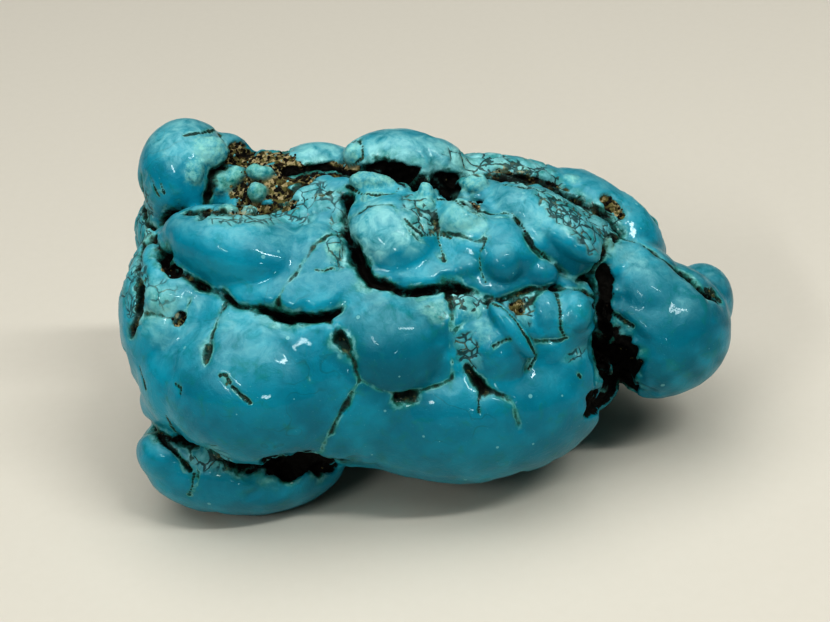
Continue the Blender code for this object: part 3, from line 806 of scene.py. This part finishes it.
POCKETS = {
    "hollow_floor": (25.4, 18.3, 4.4, 2.3, -4, 1.0),
    "hollow_end": (28.7, 17.1, 2.2, 1.7, -20, 1.0),
    "saddle_rock": (24.0, 15.6, 1.5, 1.4, 0, 1.0),
    "saddle_top": (26.6, 15.5, 2.3, 0.9, 12, 0.9),
    "sandy_strip": (25.2, 20.8, 4.2, 0.6, 3, 0.8),
    "cavity_grit": (16.9, 26.9, 1.2, 0.7, -35, 0.7),
    "cheek_ring": (17.9, 31.9, 0.55, 0.9, -20, 0.8),
    "trench_floor": (33.4, 16.9, 4.4, 0.7, 0, 0.8),
    "shoulder_patch": (61.2, 20.6, 1.5, 0.7, -45, 0.9),
    "shoulder_floor": (53.0, 17.8, 4.0, 0.45, -14, 0.6),
    "oval_corner": (47.6, 20.4, 0.9, 0.7, -30, 0.8),
    "olive_patch": (51.9, 30.4, 0.9, 0.9, -30, 0.7),
}
# Painted shade: these gaps are sunk and painted black, for the dark rock in them and for their shade.
DARK_AND_SHADED = {
    "cleft_upper": (60.5, 31.3, 0.9, 4.2, 0, 1.0),
    "cleft_lower": (61.9, 37.0, 1.9, 3.9, 8, 1.0),
    "foot_gap": (29.6, 46.6, 4.2, 1.2, 4, 1.0),
    "hole": (44.9, 18.3, 1.2, 1.4, 0, 1.0),
    "belly_notch": (59.5, 40.4, 0.8, 1.8, -25, 1.0),
    "cleft_top": (60.5, 28.6, 0.9, 2.4, 0, 1.0),
    "cleft_bottom": (61.0, 40.3, 1.1, 1.8, -30, 1.0),
    "ridge_gap": (40.2, 17.3, 2.2, 1.0, -12, 1.0),
}
CHIPPED = {
    "chip": (46.2, 21.7, 2.5, 1.8, -35, 0.7),
    "hole_block": (42.8, 19.2, 1.0, 1.1, 0, 0.7),
    "belt_patch": (44.8, 30.8, 2.8, 1.2, -4, 0.6),
    "cheek": (15.9, 30.6, 1.8, 2.0, 0, 0.5),
    "ridge_end": (47.2, 16.6, 2.0, 1.0, -20, 0.5),
    "web_corner": (48.2, 33.2, 1.2, 1.4, 0, 0.5),
    "under_knob": (24.0, 21.9, 3.6, 0.7, 0, 0.4),
}
# Partly painted shade: these places, mostly low down or overhanging, are painted a darker blue, for the
# stone's own deep colour and for shade.
DEEP_AND_SHADED = {
    "centre": (39.3, 35.0, 6.8, 5.6, 0, 1.0),
    "heel": (65.8, 31.8, 8.0, 7.0, 32, 1.0),
    "belly": (46.5, 41.5, 14.0, 6.5, 0, 0.5),
    "boulder_low": (26.5, 39.0, 9.0, 6.5, 0, 0.55),
    "foot": (24.6, 47.5, 10.0, 4.0, 0, 0.35),
    "brow_low": (49.5, 27.3, 6.5, 2.0, 0, 0.6),
    "oval_low": (57.8, 26.0, 2.6, 2.4, 0, 0.5),
}
# Partly painted sheen: these upper places are painted paler, partly for chalky stone and partly for the
# sheen of the light above.
CHALK_AND_SHEEN = {
    "brow_top": (38.6, 22.7, 4.3, 2.9, 0, 0.9),
    "ridge_top": (40.8, 15.6, 7.5, 2.8, -8, 0.8),
    "ridge_left_top": (31.5, 15.5, 4.5, 2.0, 0, 0.9),
    "knob_top": (19.0, 13.6, 4.5, 2.8, 0, 0.7),
    "chip_top": (46.3, 21.8, 3.0, 2.6, 0, 0.7),
    "shoulder_top": (58.5, 19.6, 6.0, 2.4, -38, 0.2),
    "oval_top": (53.0, 20.8, 5.0, 2.2, -30, 0.6),
    "heel_top": (62.8, 25.6, 2.6, 1.8, -30, 0.6),
    "twins_top": (56.0, 30.5, 3.6, 1.8, 0, 0.25),
    "boulder_top": (24.5, 32.5, 3.0, 1.8, 0, 0.5),
    "cheek_top": (17.0, 31.0, 3.4, 3.6, 0, 0.5),
    "wedge_top": (27.5, 22.6, 6.5, 1.8, -4, 0.5),
}


# %% Weigh the zones
FAR_DEEP = 0.5
# How much painted shade a black gap puts into the shade mark.
BLACK_SHADE = 6
ZONE_EDGE = (0.7, 1.2)
SEEN_EDGE = (-0.35, 0.0)
FAR_WEB_EDGE = (0.6, 0.8)
# Painted sheen on the upper sides: how much paler an upward face is painted, and over which slant of the
# face.
TOP_SHEEN, TOP_SHEEN_EDGE = 0.4, (0.35, 1.0)


def smooth_step(value, low, high):
    """0 up to low, 1 from high on, and a soft step between."""
    t = np.clip((value - low) / (high - low), 0, 1)
    return t * t * (3 - 2 * t)


def sheet_places(points):
    """Where each point shows on the sheet, as across and down."""
    ways = points - np.array(EYE)
    ways *= (EYE_DISTANCE / -(ways @ np.array(TOWARDS)))[:, None]
    spots = ways + np.array(EYE - SHEET_MIDDLE)
    return SHEET_WIDTH / 2 + spots @ np.array(RIGHT), SHEET_HEIGHT / 2 - spots @ np.array(UP)


def zone_weights(points, table):
    """How strongly each point belongs to the zones of a table, with a wavering edge."""
    across, down = sheet_places(points)
    waver = 0.18 * np.sin(points @ (1.7, 0.6, 1.1)) + 0.14 * np.sin(points @ (-2.3, 2.9, 3.1))
    weight = np.zeros(len(points))
    for middle_across, middle_down, half_width, half_height, turn, strength in table.values():
        cos, sin = math.cos(math.radians(turn)), math.sin(math.radians(turn))
        x, y = across - middle_across, middle_down - down
        radius = np.hypot((x * cos + y * sin) / half_width, (y * cos - x * sin) / half_height)
        np.maximum(weight, strength * (1 - smooth_step(radius + waver, *ZONE_EDGE)), out=weight)
    return weight


def far_waves(points):
    """Slow waves over the stone, between 0 and 1."""
    waves = np.sin(points @ (0.31, 0.17, 0.23)) + np.sin(points @ (-0.19, 0.42, 0.29) + 2.0)
    return (waves + np.sin(points @ (0.5, -0.3, 0.4) + 4.0)) / 6 + 0.5


points, normals = vertex_values(fine, "co"), vertex_values(fine, "normal")
seen = smooth_step(faces_eye(points, normals), *SEEN_EDGE)
far_web = (1 - seen) * smooth_step(far_waves(points), *FAR_WEB_EDGE)
# Painted sheen: every face that looks up is painted paler, as the broad light above makes it look.
top_sheen = TOP_SHEEN * smooth_step(normals[:, 2], *TOP_SHEEN_EDGE)
chipped, deep, web, pocket, dark, chalk_and_sheen = [seen * zone_weights(points, table)
                                            for table in (CHIPPED, DEEP_AND_SHADED, PEBBLES, POCKETS, DARK_AND_SHADED, CHALK_AND_SHEEN)]
# The marks carry painted shade into the material through deep and shade, where the far side gets half of
# the darker blue, and painted sheen through the mark that makes the blue paler.
marks = {
    "nodule": np.maximum(kept_values(fine, "nodule"), chipped),
    "deep": deep + FAR_DEEP * (1 - seen),
    "web": np.maximum(web, far_web),
    "pocket": np.maximum(pocket, dark),
    "shade": np.maximum(kept_values(fine, "shade"), BLACK_SHADE * dark),
    "chalk": np.maximum(chalk_and_sheen, top_sheen),
}
for name, values in marks.items():
    keep_values(fine, name, values)
    print(name, "over", round(100 * float((values > 0.5).mean()), 1), "% of the skin")

# %% [markdown]
# ## Pebbles and pockets
#
# A Voronoi pattern splits space into cells around scattered points, much as mud cracks. Pressing the skin
# along the borders of the cells leaves pebbles standing between them. The same few nodes are built once
# here and are used again in the material, so that the dark lines fall in the grooves. Both read the place
# that was kept before this pressing, under the name "rest".

# %% The pebble pattern
PEBBLE_SIZE = 1.8
CRUMB_SIZE = 0.95
DISORDER = 0.95
BREAK_UP_EDGE = (0.55, 0.45)


def cell_border(place, size):
    """How far a place is from the nearest border between cells of this size, in mm."""
    inputs = {"Vector": place, "Scale": 1 / size, "Randomness": DISORDER}
    feature = "DISTANCE_TO_EDGE"
    return take(place.tree, "ShaderNodeTexVoronoi", "Distance", inputs, feature=feature) * size


def pebble_border(place):
    """The border distance of pebbles that break up into crumbs here and there."""
    wavering = drifted(place, 0.7, 0.9)
    large, small = [cell_border(wavering, size) for size in (PEBBLE_SIZE, CRUMB_SIZE)]
    return calc("MINIMUM", large, small + faded(noise(place, 0.3), *BREAK_UP_EDGE))

# %% Press the cracks and the relief
CRACKING = {"drift": 0.3, "drift_scale": 1.0, "reach": 2.5, "breadth": 8}
RELIEF = {"groove": 0.35, "depth": 0.25, "sink": 0.6, "grain": 0.3}
SWELL, DENT, CRUST = 0.4, 0.1, 0.7


def relief_tree():
    """Presses the pebbles' borders, sinks the pockets, and roughens their floors and the crusts."""
    inputs = {name: ("Float", value) for name, value in RELIEF.items()}
    tree, given, result = skin_tree("relief", inputs)
    place = take(tree, "GeometryNodeInputPosition", 0)
    kept = stored(given["skin"], "rest", place, "FLOAT_VECTOR")
    web, pocket, nodule = [named(tree, name) for name in ("web", "pocket", "nodule")]
    bare = left_over(nodule)
    groove = 1.0 - faded(pebble_border(place), 0.0, given["groove"])
    floor = given["sink"] - swing(place, 1.6, 4.0, 0.65) * (given["grain"] * 4.0)
    inward = groove * web * bare * given["depth"] + pocket * bare * floor
    swell = swing(place, 0.22) * SWELL + swing(place, 0.7) * DENT
    swell = swell + swing(place, 1.1, 3.0, 0.6) * nodule * CRUST
    way = scaled(take(tree, "GeometryNodeInputNormal", "Normal"), swell - inward)
    moved(kept, way, result["skin"], given["material"])
    return tree


crack_rows = traced(tree_of_faces(fine), CRACKS)
crack_guide = guide("cracks", crack_rows)
fine = through(fine, PRESS, guides=crack_guide, **CRACKING, material=turquoise)
fine = through(fine, relief_tree(), **RELIEF, material=turquoise)
for done in (great_guide, crack_guide):
    bpy.data.objects.remove(done)
print("cracks:", len(CRACKS), "lines,", len(crack_rows), "points")

# %% [markdown]
# ## Thin, and stand on the floor
#
# The fine skin has far more faces than it needs. Decimate takes them away where the stone is even and
# leaves them in the grooves. Then the lowest bumps are rubbed flat, as they are on the frame, the stone
# is centred over its base, and millimetres become metres.

# %% Thin the skin and stand it up
TRIANGLES = 190000
REST_WEAR = 0.6


def sort_faces(mesh):
    """Lists the faces in a fixed order, so that what is strewn over them comes out the same each time."""
    faces = [list(face.vertices) for face in mesh.polygons]
    faces = sorted(face[face.index(min(face)):] + face[:face.index(min(face))] for face in faces)
    mesh.polygons.foreach_set("loop_start", np.cumsum([0] + [len(face) for face in faces[:-1]]))
    mesh.polygons.foreach_set("vertices", [corner for face in faces for corner in face])
    mesh.update(calc_edges=True)


def thinned(mesh, triangles):
    """The mesh with few faces where it is even, and many where it bends."""
    fine_skin = linked("fine_skin", mesh)
    thinning = fine_skin.modifiers.new("thinning", "DECIMATE")
    thinning.ratio = triangles / sum(len(face.vertices) - 2 for face in mesh.polygons)
    thin = evaluated_mesh(fine_skin)
    sort_faces(thin)
    thin.validate()
    return thin


def stand_up(mesh):
    """Rubs the resting spots flat, centres the stone, turns it to metres, and returns its base."""
    points = vertex_values(mesh, "co")
    points[:, 2] = np.maximum(points[:, 2], points[:, 2].min() + REST_WEAR)
    low, high = points.min(0), points.max(0)
    base = np.array([(low[0] + high[0]) / 2, (low[1] + high[1]) / 2, low[2]])
    mesh.vertices.foreach_set("co", ((points - base) * MM).ravel())
    mesh.update()
    return base


stone_mesh = thinned(fine, TRIANGLES)
BASE = stand_up(stone_mesh)
stone_mesh.shade_smooth()
stone = linked("nugget", stone_mesh)
size = (np.array(stone.bound_box).max(0) - np.array(stone.bound_box).min(0)) / MM
print("stone:", len(stone_mesh.polygons), "faces,", np.round(size, 2), "mm, base", np.round(BASE, 3))
print("kept on it:", [name for name in stone_mesh.attributes.keys() if not name.startswith(".")])

# %% [markdown]
# ## Effects that several materials share
#
# Turquoise and the host rock each show up in more than one piece, so each is a shader group: it takes a
# place in mm and gives a colour, a roughness and a height. Turquoise is cloudy. One input makes it deep
# blue-green, for its own deep colour and for painted shade, and another makes it pale, for chalky stone
# and for painted sheen. The rock is gritty, from near black to tan, and its Light input darkens it, which
# the nugget's material uses to paint shade deep in the grooves.

# %% The colours of both stones
# The darkest blue also paints shade low down, with the stone's own deep colour.
DARKEST_BLUE = (0.0, 0.095, 0.130, 1)
DEEP_BLUE = (0.0, 0.200, 0.280, 1)
CLEAR_BLUE = (0.002, 0.290, 0.390, 1)
# Pale blue of chalky stone and pale flecks, also painted on the upper sides as sheen.
CHALK_AND_SHEEN_BLUE = (0.29, 0.60, 0.59, 1)
NODULE_GREEN = (0.30, 0.60, 0.52, 1)
SEA_GREEN = (0.01, 0.20, 0.17, 1)
# Dark green of stain and veins, also painted inside the grooves as shade.
STAIN_AND_SHADE_GREEN = (0.012, 0.060, 0.035, 1)
ROCK_BLACK = (0.005, 0.004, 0.002, 1)
ROCK_BROWN = (0.040, 0.026, 0.009, 1)
ROCK_OLIVE = (0.120, 0.112, 0.040, 1)
ROCK_TAN = (0.36, 0.30, 0.17, 1)
ROCK_TONES = ((ROCK_BROWN, 0.30, 0.52), (ROCK_OLIVE, 0.45, 0.63), (ROCK_TAN, 0.66, 0.84))
GROUP_OUTPUTS = {"Color": "Color", "Roughness": "Float", "Height": "Float"}


def mixed(factor, first, second):
    """The first colour turning into the second."""
    inputs = {0: factor, 6: first, 7: second}
    return take(factor.tree, "ShaderNodeMix", 2, inputs, data_type="RGBA")


def round_cells(place, scale):
    """Cells around strewn middles: how far the nearest middle is, and a number of the cell's own."""
    cell = add(place.tree, "ShaderNodeTexVoronoi", {"Vector": place, "Scale": scale}).outputs
    own = take(place.tree, "ShaderNodeSeparateColor", 0, {0: Signal(cell["Color"])})
    return Signal(cell["Distance"]), own

# %% Two groups: turquoise and host rock
CLOUD_SCALE, WISP_SCALE, FLECK_SCALE, GRAIN_SCALE = 0.16, 0.6, 5.0, 3.0
SPOT_SHARE, SPOT_RADIUS = 0.55, 0.3
VEIN_HALF, VEIN_STRENGTH = 0.008, 0.25


def turquoise_group():
    """Cloudy turquoise: colour, roughness and height at a place in mm."""
    inputs = {"Place": ("Vector", None), "Chalk": ("Float", 0.0), "Green": ("Float", 0.0)}
    inputs |= {"Deep": ("Float", 0.0)}
    _, given, result = new_group("turquoise_body", "ShaderNodeTree", inputs, GROUP_OUTPUTS)
    place = given["Place"]
    clouds, flecks = noise(place, CLOUD_SCALE, 5.0, 0.6), noise(place, FLECK_SCALE, 3.0, 0.7)
    wisps = noise(drifted(place, 0.4, 3.0), WISP_SCALE, 4.0, 0.65)
    away, own = round_cells(place, 0.6)
    spots = calc("LESS_THAN", away, calc("MAXIMUM", own - SPOT_SHARE, 0.0) * SPOT_RADIUS)
    colour = mixed(faded(clouds, 0.35, 0.65), DEEP_BLUE, CLEAR_BLUE)
    # Partly painted shade: the Deep input paints the blue darker, for deep stone and for shade.
    colour = mixed(given["Deep"] * 0.6, colour, DARKEST_BLUE)
    colour = mixed(faded(wisps, 0.5, 0.75) * 0.5, colour, SEA_GREEN)
    green = calc("MULTIPLY", given["Green"], faded(wisps, 0.3, 0.6), clamp=True)
    colour = mixed(green, colour, SEA_GREEN)
    vein = 1.0 - faded(calc("ABSOLUTE", swing(place, CLOUD_SCALE, 2.5)), 0.0, VEIN_HALF)
    vein = vein * faded(noise(place, 0.11, 3.0), 0.52, 0.62)
    colour = mixed(vein * VEIN_STRENGTH, colour, STAIN_AND_SHADE_GREEN)
    # Partly painted sheen: this input paints the blue paler, for chalky stone and for the sheen of the
    # light above.
    chalk = calc("MULTIPLY", given["Chalk"] * 1.4, faded(wisps, 0.8, 0.2), clamp=True)
    colour = mixed(chalk, colour, CHALK_AND_SHEEN_BLUE)
    pale = calc("MAXIMUM", faded(flecks, 0.66, 0.76) * 0.35, spots * 0.45)
    send(mixed(pale, colour, CHALK_AND_SHEEN_BLUE), result["Color"])
    send(wisps * 0.2 + given["Chalk"] * 0.12 + 0.28, result["Roughness"])
    send(wisps * 0.5 + flecks * 0.08 - spots * 0.1, result["Height"])
    return place.tree


def rock_group():
    """Gritty host rock: colour, roughness and height at a place in mm."""
    inputs = {"Place": ("Vector", None), "Light": ("Float", 0.3)}
    _, given, result = new_group("host_rock", "ShaderNodeTree", inputs, GROUP_OUTPUTS)
    place = given["Place"]
    grains = noise(place, GRAIN_SCALE, 4.0, 0.7)
    away, own = round_cells(drifted(place, 1.5, 0.5), 2.2)
    bright = own * 0.6 + grains * 0.4 + swing(place, 0.5, 4.0, 0.6) * 1.2
    bright = bright + (given["Light"] - 0.5) * 0.5
    colour = ROCK_BLACK
    for tone, start, end in ROCK_TONES:
        colour = mixed(faded(bright, start, end), colour, tone)
    send(colour, result["Color"])
    send(grains * 0.25 + 0.55, result["Roughness"])
    send(grains - away * 0.8, result["Height"])
    return place.tree


TURQUOISE_GROUP, ROCK_GROUP = turquoise_group(), rock_group()
print("shader groups:", TURQUOISE_GROUP.name, "and", ROCK_GROUP.name)

# %% [markdown]
# ## Polished turquoise with seams of rock
#
# The skin of the nugget changes from one stone to the other along its seams, so this material lays the
# two groups over each other. The gap to the nearest seam, made ragged by noise, decides which one shows.
# Iron from the rock stained the turquoise beside it, and the lips of the seams were rubbed pale. Inside
# the grooves the turquoise is painted dark green, for stain and for shade, and deep in them the rock is
# painted black, for its own dark colour and for the shade there. The upper sides are painted paler, as
# sheen, and the lower ones darker, as shade, over the stone's own pale and deep patches. A clear coat
# stands for the polish, and the rock and the crusts go without it.


# %% Helpers of the materials
def opened(material, settings):
    """The tree of a material and the inputs of its shader, after these settings."""
    material.use_nodes = True
    inputs = material.node_tree.nodes["Principled BSDF"].inputs
    for name, value in settings.items():
        inputs[name].default_value = value
    return material.node_tree, inputs


def attribute(tree, name, output="Fac"):
    """What is kept on the piece under this name."""
    return take(tree, "ShaderNodeAttribute", output, attribute_name=name)


def place_in_mm(tree):
    """The place on the piece in mm."""
    return scaled(take(tree, "ShaderNodeTexCoord", "Object"), 1000.0)


def body(group, place, **inputs):
    """A shader group in a material, at this place: its colour, its roughness and its height."""
    node = add(place.tree, "ShaderNodeGroup", {"Place": place, **inputs}, node_tree=group)
    return [Signal(node.outputs[name]) for name in GROUP_OUTPUTS]


def between(factor, first, second):
    """The first number turning into the second."""
    return take(factor.tree, "ShaderNodeMix", 0, {0: factor, 2: first, 3: second})


# %% Where the effects start and end, in seam widths, in mm of shade, or as a share
SEAM_EDGE, LINE_EDGE, POCKET_EDGE = (-0.1, 0.25), (0.03, 0.15), (0.35, 0.6)
SEAM_RAGGED, LINE_RAGGED, POCKET_RAGGED = 1.8, 0.15, 1.3
# Painted shade: the second pair sets how deep in a groove the rock is painted black.
DEEP_EDGE, BLACK_EDGE = (0.2, 1.4), (1.0, 1.9)
# Partly painted shade: the second pair sets where the turquoise inside a groove is painted dark green, for
# stain and for shade.
STAIN_EDGE, STAIN_AND_SHADE_EDGE = (0.2, 1.9), (0.15, 0.7)
LIP_STARTS, LIP_ENDS = (0.3, 0.5), (1.3, 0.7)
COAT_WEIGHT = 0.36
GRAIN_HEIGHT = 0.0004


# %% The nugget's material
def rock_mask(place, ragged):
    """How much rock shows: the seams, whose fill comes and goes, the web's lines and the pockets."""
    tree = place.tree
    slow = noise(place, 0.32)
    deep = faded(attribute(tree, "shade"), *DEEP_EDGE)
    edge = faded(slow, 0.35, 0.6) * 0.5 + 0.35 + (1.0 - deep) * 0.3
    gap = attribute(tree, "gap") - edge + ragged * SEAM_RAGGED
    seam = (1.0 - faded(gap, *SEAM_EDGE)) * (deep * 0.4 + 0.6)
    border = pebble_border(attribute(tree, "rest", "Vector")) + ragged * LINE_RAGGED
    line = 1.0 - faded(border, *LINE_EDGE)
    line = line * (attribute(tree, "web") * faded(slow, 0.2, 0.45))
    pocket = faded(attribute(tree, "pocket") + ragged * POCKET_RAGGED, *POCKET_EDGE)
    pocket = pocket * left_over(attribute(tree, "nodule"))
    mask = calc("MAXIMUM", seam, faded(line, 0.2, 0.7) * 0.75)
    return calc("MAXIMUM", mask, pocket), gap


def blue_of(place, gap, ragged):
    """The turquoise with its stains, its pale lips and its green crusts, with painted sheen on its upper
    sides and painted shade low down and in its grooves.
    """
    web, nodule, pocket, deep, chalk_and_sheen = [attribute(place.tree, name)
                                         for name in ("web", "nodule", "pocket", "deep", "chalk")]
    stain = calc("MAXIMUM", 1.0 - faded(gap, *STAIN_EDGE), web * 0.7)
    stain = calc("MAXIMUM", stain, pocket)
    lip = faded(gap, *LIP_STARTS) * faded(gap, *LIP_ENDS) * faded(noise(place, 0.6), 0.4, 0.65)
    # How pale the blue is painted: the pale lips and pebbles, and the mark that holds chalky stone and
    # painted sheen on the upper sides.
    chalk = lip * 0.6 + web * 0.4 + chalk_and_sheen * 0.8
    colour, rough, height = body(TURQUOISE_GROUP, place, Chalk=chalk, Green=stain, Deep=deep)
    colour = mixed(nodule * faded(ragged, 0.2, -0.2) * 0.8, colour, NODULE_GREEN)
    # Partly painted shade: inside the groove the turquoise is painted dark green, for iron stain and for
    # shade.
    return mixed((1.0 - faded(gap, *STAIN_AND_SHADE_EDGE)) * 0.7, colour, STAIN_AND_SHADE_GREEN), rough, height


def rock_of(place):
    """The host rock, lighter in the open and painted black deep in a groove, as shade."""
    shade, pocket = attribute(place.tree, "shade"), attribute(place.tree, "pocket")
    # Painted shade: the deeper in a groove, the darker the rock is painted, down to black.
    light = faded(shade, 0.8, 0.1) * 0.78 * faded(pocket, 0.0, 0.4)
    return body(ROCK_GROUP, place, Light=light - faded(shade, *BLACK_EDGE) * 1.4)


def dress_turquoise(material):
    """Lays the rock over the turquoise, and the polish over what is still turquoise."""
    settings = {"Specular IOR Level": 0.18, "Coat Roughness": 0.06, "Coat IOR": 1.45}
    tree, shader = opened(material, settings)
    place = place_in_mm(tree)
    ragged = swing(place, 1.6, 6.0, 0.72)
    rock_share, gap = rock_mask(place, ragged)
    blue, blue_rough, blue_height = blue_of(place, gap, ragged)
    rock, rock_rough, rock_height = rock_of(place)
    height = between(rock_share, blue_height, rock_height * 0.6)
    inputs = {"Height": height, "Strength": 0.6, "Distance": GRAIN_HEIGHT}
    send(mixed(rock_share, blue, rock), shader["Base Color"])
    send(between(rock_share, blue_rough, rock_rough), shader["Roughness"])
    send(take(tree, "ShaderNodeBump", "Normal", inputs), shader["Normal"])
    polish = left_over(calc("MAXIMUM", rock_share, attribute(tree, "nodule")))
    dull = faded(attribute(tree, "deep"), 0.5, 0.9) * 0.5
    send(polish * (1.0 - dull) * COAT_WEIGHT, shader["Coat Weight"])


dress_turquoise(turquoise)
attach(stone, "root")
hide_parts("turquoise_nugget")
print("nugget material:", len(turquoise.node_tree.nodes), "nodes")

# %% [markdown]
# ## Crumbs in the rock
#
# The rock in the pockets and in the shallow seams is loose and gritty. Crumbs are scattered over it, dense
# where a pocket is bare and sparse along the seams, and almost none where it is black. Each is a turned
# and squeezed little ball of twenty faces. Most are rock and the rest are chips of turquoise.

# %% The crumbs' node tree
CRUMB_RADIUS = (0.00007, 0.00024)
CRUMBS_EACH_M2 = 3.0e6
CRUMB_FACES = 20
LEAST_SQUEEZE, MOST_SQUEEZE = (0.7, 0.7, 0.5), (1.2, 1.2, 0.9)
FULL_TURNS = (6.28, 6.28, 6.28)


def crumb_tree():
    """Scatters crumbs over the rock that shows on a skin."""
    inputs = {"each_m2": ("Float", CRUMBS_EACH_M2)}
    inputs |= {"least": ("Float", CRUMB_RADIUS[0]), "most": ("Float", CRUMB_RADIUS[1])}
    tree, given, result = skin_tree("scatter_crumbs", inputs, "crumbs")
    seam = faded(named(tree, "gap"), 0.75, 0.3)
    bare = calc("MAXIMUM", faded(named(tree, "pocket"), 0.45, 0.8), seam * 0.15)
    bare = bare * (1.0 - faded(named(tree, "shade"), 0.7, 1.4) * 0.95) * left_over(named(tree, "nodule"))
    inputs = {"Mesh": given["skin"], "Density": bare * given["each_m2"], "Seed": 5}
    points = take(tree, "GeometryNodeDistributePointsOnFaces", "Points", inputs)
    points = stored(points, "tone", take(tree, "FunctionNodeRandomValue", 1, {"Seed": 2}))
    ball = take(tree, "GeometryNodeMeshIcoSphere", "Mesh", {"Radius": 1.0, "Subdivisions": 1})
    inputs = {1: FULL_TURNS, "Seed": 3}
    turn = take(tree, "FunctionNodeRandomValue", 0, inputs, data_type="FLOAT_VECTOR")
    inputs = {2: given["least"], 3: given["most"], "Seed": 4}
    size = take(tree, "FunctionNodeRandomValue", 1, inputs)
    inputs = {0: LEAST_SQUEEZE, 1: MOST_SQUEEZE, "Seed": 6}
    squeeze = take(tree, "FunctionNodeRandomValue", 0, inputs, data_type="FLOAT_VECTOR")
    inputs = {"Points": points, "Instance": ball, "Rotation": turn, "Scale": scaled(squeeze, size)}
    placed = take(tree, "GeometryNodeInstanceOnPoints", "Instances", inputs)
    close_tree(placed, given["material"], result["crumbs"])
    return tree


# %% Scatter them
grit = bpy.data.materials.new("rock_crumbs")
crumb_mesh = through(stone.data, crumb_tree(), material=grit)
crumbs = linked("matrix_crumbs", crumb_mesh)
print("crumbs:", len(crumb_mesh.polygons) // CRUMB_FACES)

# %% The crumbs' material
grit_tree, grit_shader = opened(grit, {"Specular IOR Level": 0.3})
grit_place, grit_tone = place_in_mm(grit_tree), attribute(grit_tree, "tone")
crumb_rock, crumb_rough, _ = body(ROCK_GROUP, grit_place, Light=grit_tone * 0.45)
crumb_blue, _, _ = body(TURQUOISE_GROUP, grit_place, Chalk=0.8, Green=0.5)
send(mixed(faded(grit_tone, 0.93, 0.94), crumb_rock, crumb_blue), grit_shader["Base Color"])
send(crumb_rough, grit_shader["Roughness"])
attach(crumbs, "root")
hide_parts("turquoise_nugget")
print("crumb material:", len(grit_tree.nodes), "nodes")

# %% [markdown]
# ## Floor, light and camera
#
# The nugget stands on a plain pale floor. One wide soft light above gives the broad sheen on the upper
# sides, and a weak one on the left in front lightens the shade. The coat mirrors three small ones as the
# sharp sparks that tell the eye that the stone is polished. Two of those are narrow panels, rolled to
# the slant of the crests, so that their sparks become streaks.

# %% Floor
FLOOR_HALF = 1.5
FLOOR_DARK, FLOOR_LIGHT = (0.600, 0.573, 0.500, 1), (0.618, 0.590, 0.518, 1)

grid = bmesh.new()
bmesh.ops.create_grid(grid, x_segments=8, y_segments=8, size=FLOOR_HALF)
floor = linked("floor", mesh_from("floor", grid))
cream = bpy.data.materials.new("cream_floor")
cream_tree, cream_shader = opened(cream, {"Roughness": 0.8, "Specular IOR Level": 0.15})
speckle = noise(place_in_mm(cream_tree), 0.8, 4.0)
send(mixed(speckle, FLOOR_DARK, FLOOR_LIGHT), cream_shader["Base Color"])
floor.data.materials.append(cream)
print("floor:", round(2 * FLOOR_HALF, 1), "m wide")

# %% Lights: place in metres, width, height, power, and roll in degrees
PANELS = {
    "overhead": ((-0.06, -0.05, 0.75), 0.90, 0.90, 4.5, 0),
    "left_key": ((-0.38, -0.38, 0.36), 0.30, 0.30, 0.3, 0),
    "spark_left": ((-0.28, -0.40, 0.33), 0.20, 0.03, 0.50, -35),
    "spark_right": ((0.265, -0.25, 0.475), 0.24, 0.035, 1.00, -45),
    "spark_front": ((0.04, -0.55, 0.14), 0.04, 0.04, 0.12, 0),
}
LIGHTS_AIM = Vector((0, 0, 0.015))
STUDIO_GREY, STUDIO_STRENGTH = (0.85, 0.83, 0.78, 1), 0.05


def area_light(name, place, width, height, power, roll):
    """A light panel that looks at the stone."""
    light = bpy.data.lights.new(name, "AREA")
    light.shape = "RECTANGLE"
    light.size, light.size_y, light.energy = width, height, power
    obj = bpy.data.objects.new(name, light)
    obj.location = place
    aim = (LIGHTS_AIM - Vector(place)).to_track_quat("-Z", "Y")
    obj.rotation_euler = (aim @ Quaternion((0, 0, 1), math.radians(roll))).to_euler()
    bpy.context.scene.collection.objects.link(obj)


for name, settings in PANELS.items():
    area_light(name, *settings)
world = bpy.data.worlds.new("studio")
bpy.context.scene.world = world
world.use_nodes = True
backdrop = world.node_tree.nodes["Background"].inputs
backdrop["Color"].default_value = STUDIO_GREY
backdrop["Strength"].default_value = STUDIO_STRENGTH
bpy.context.scene.view_settings.view_transform = "Standard"
bpy.context.scene.view_settings.look = "High Contrast"
print("lights:", list(PANELS))

# %% Camera
camera_data = bpy.data.cameras.new("camera")
camera_data.sensor_fit = "HORIZONTAL"
camera_data.sensor_width, camera_data.lens = SHEET_WIDTH, EYE_DISTANCE
camera_data.clip_start, camera_data.clip_end = 0.01, 10.0
camera = bpy.data.objects.new("camera", camera_data)
camera.matrix_world = Matrix.Translation((EYE - Vector(BASE)) * MM) @ SHEET_AXES
bpy.context.scene.collection.objects.link(camera)
bpy.context.scene.camera = camera
print("camera:", [round(value, 3) for value in camera.matrix_world.translation])
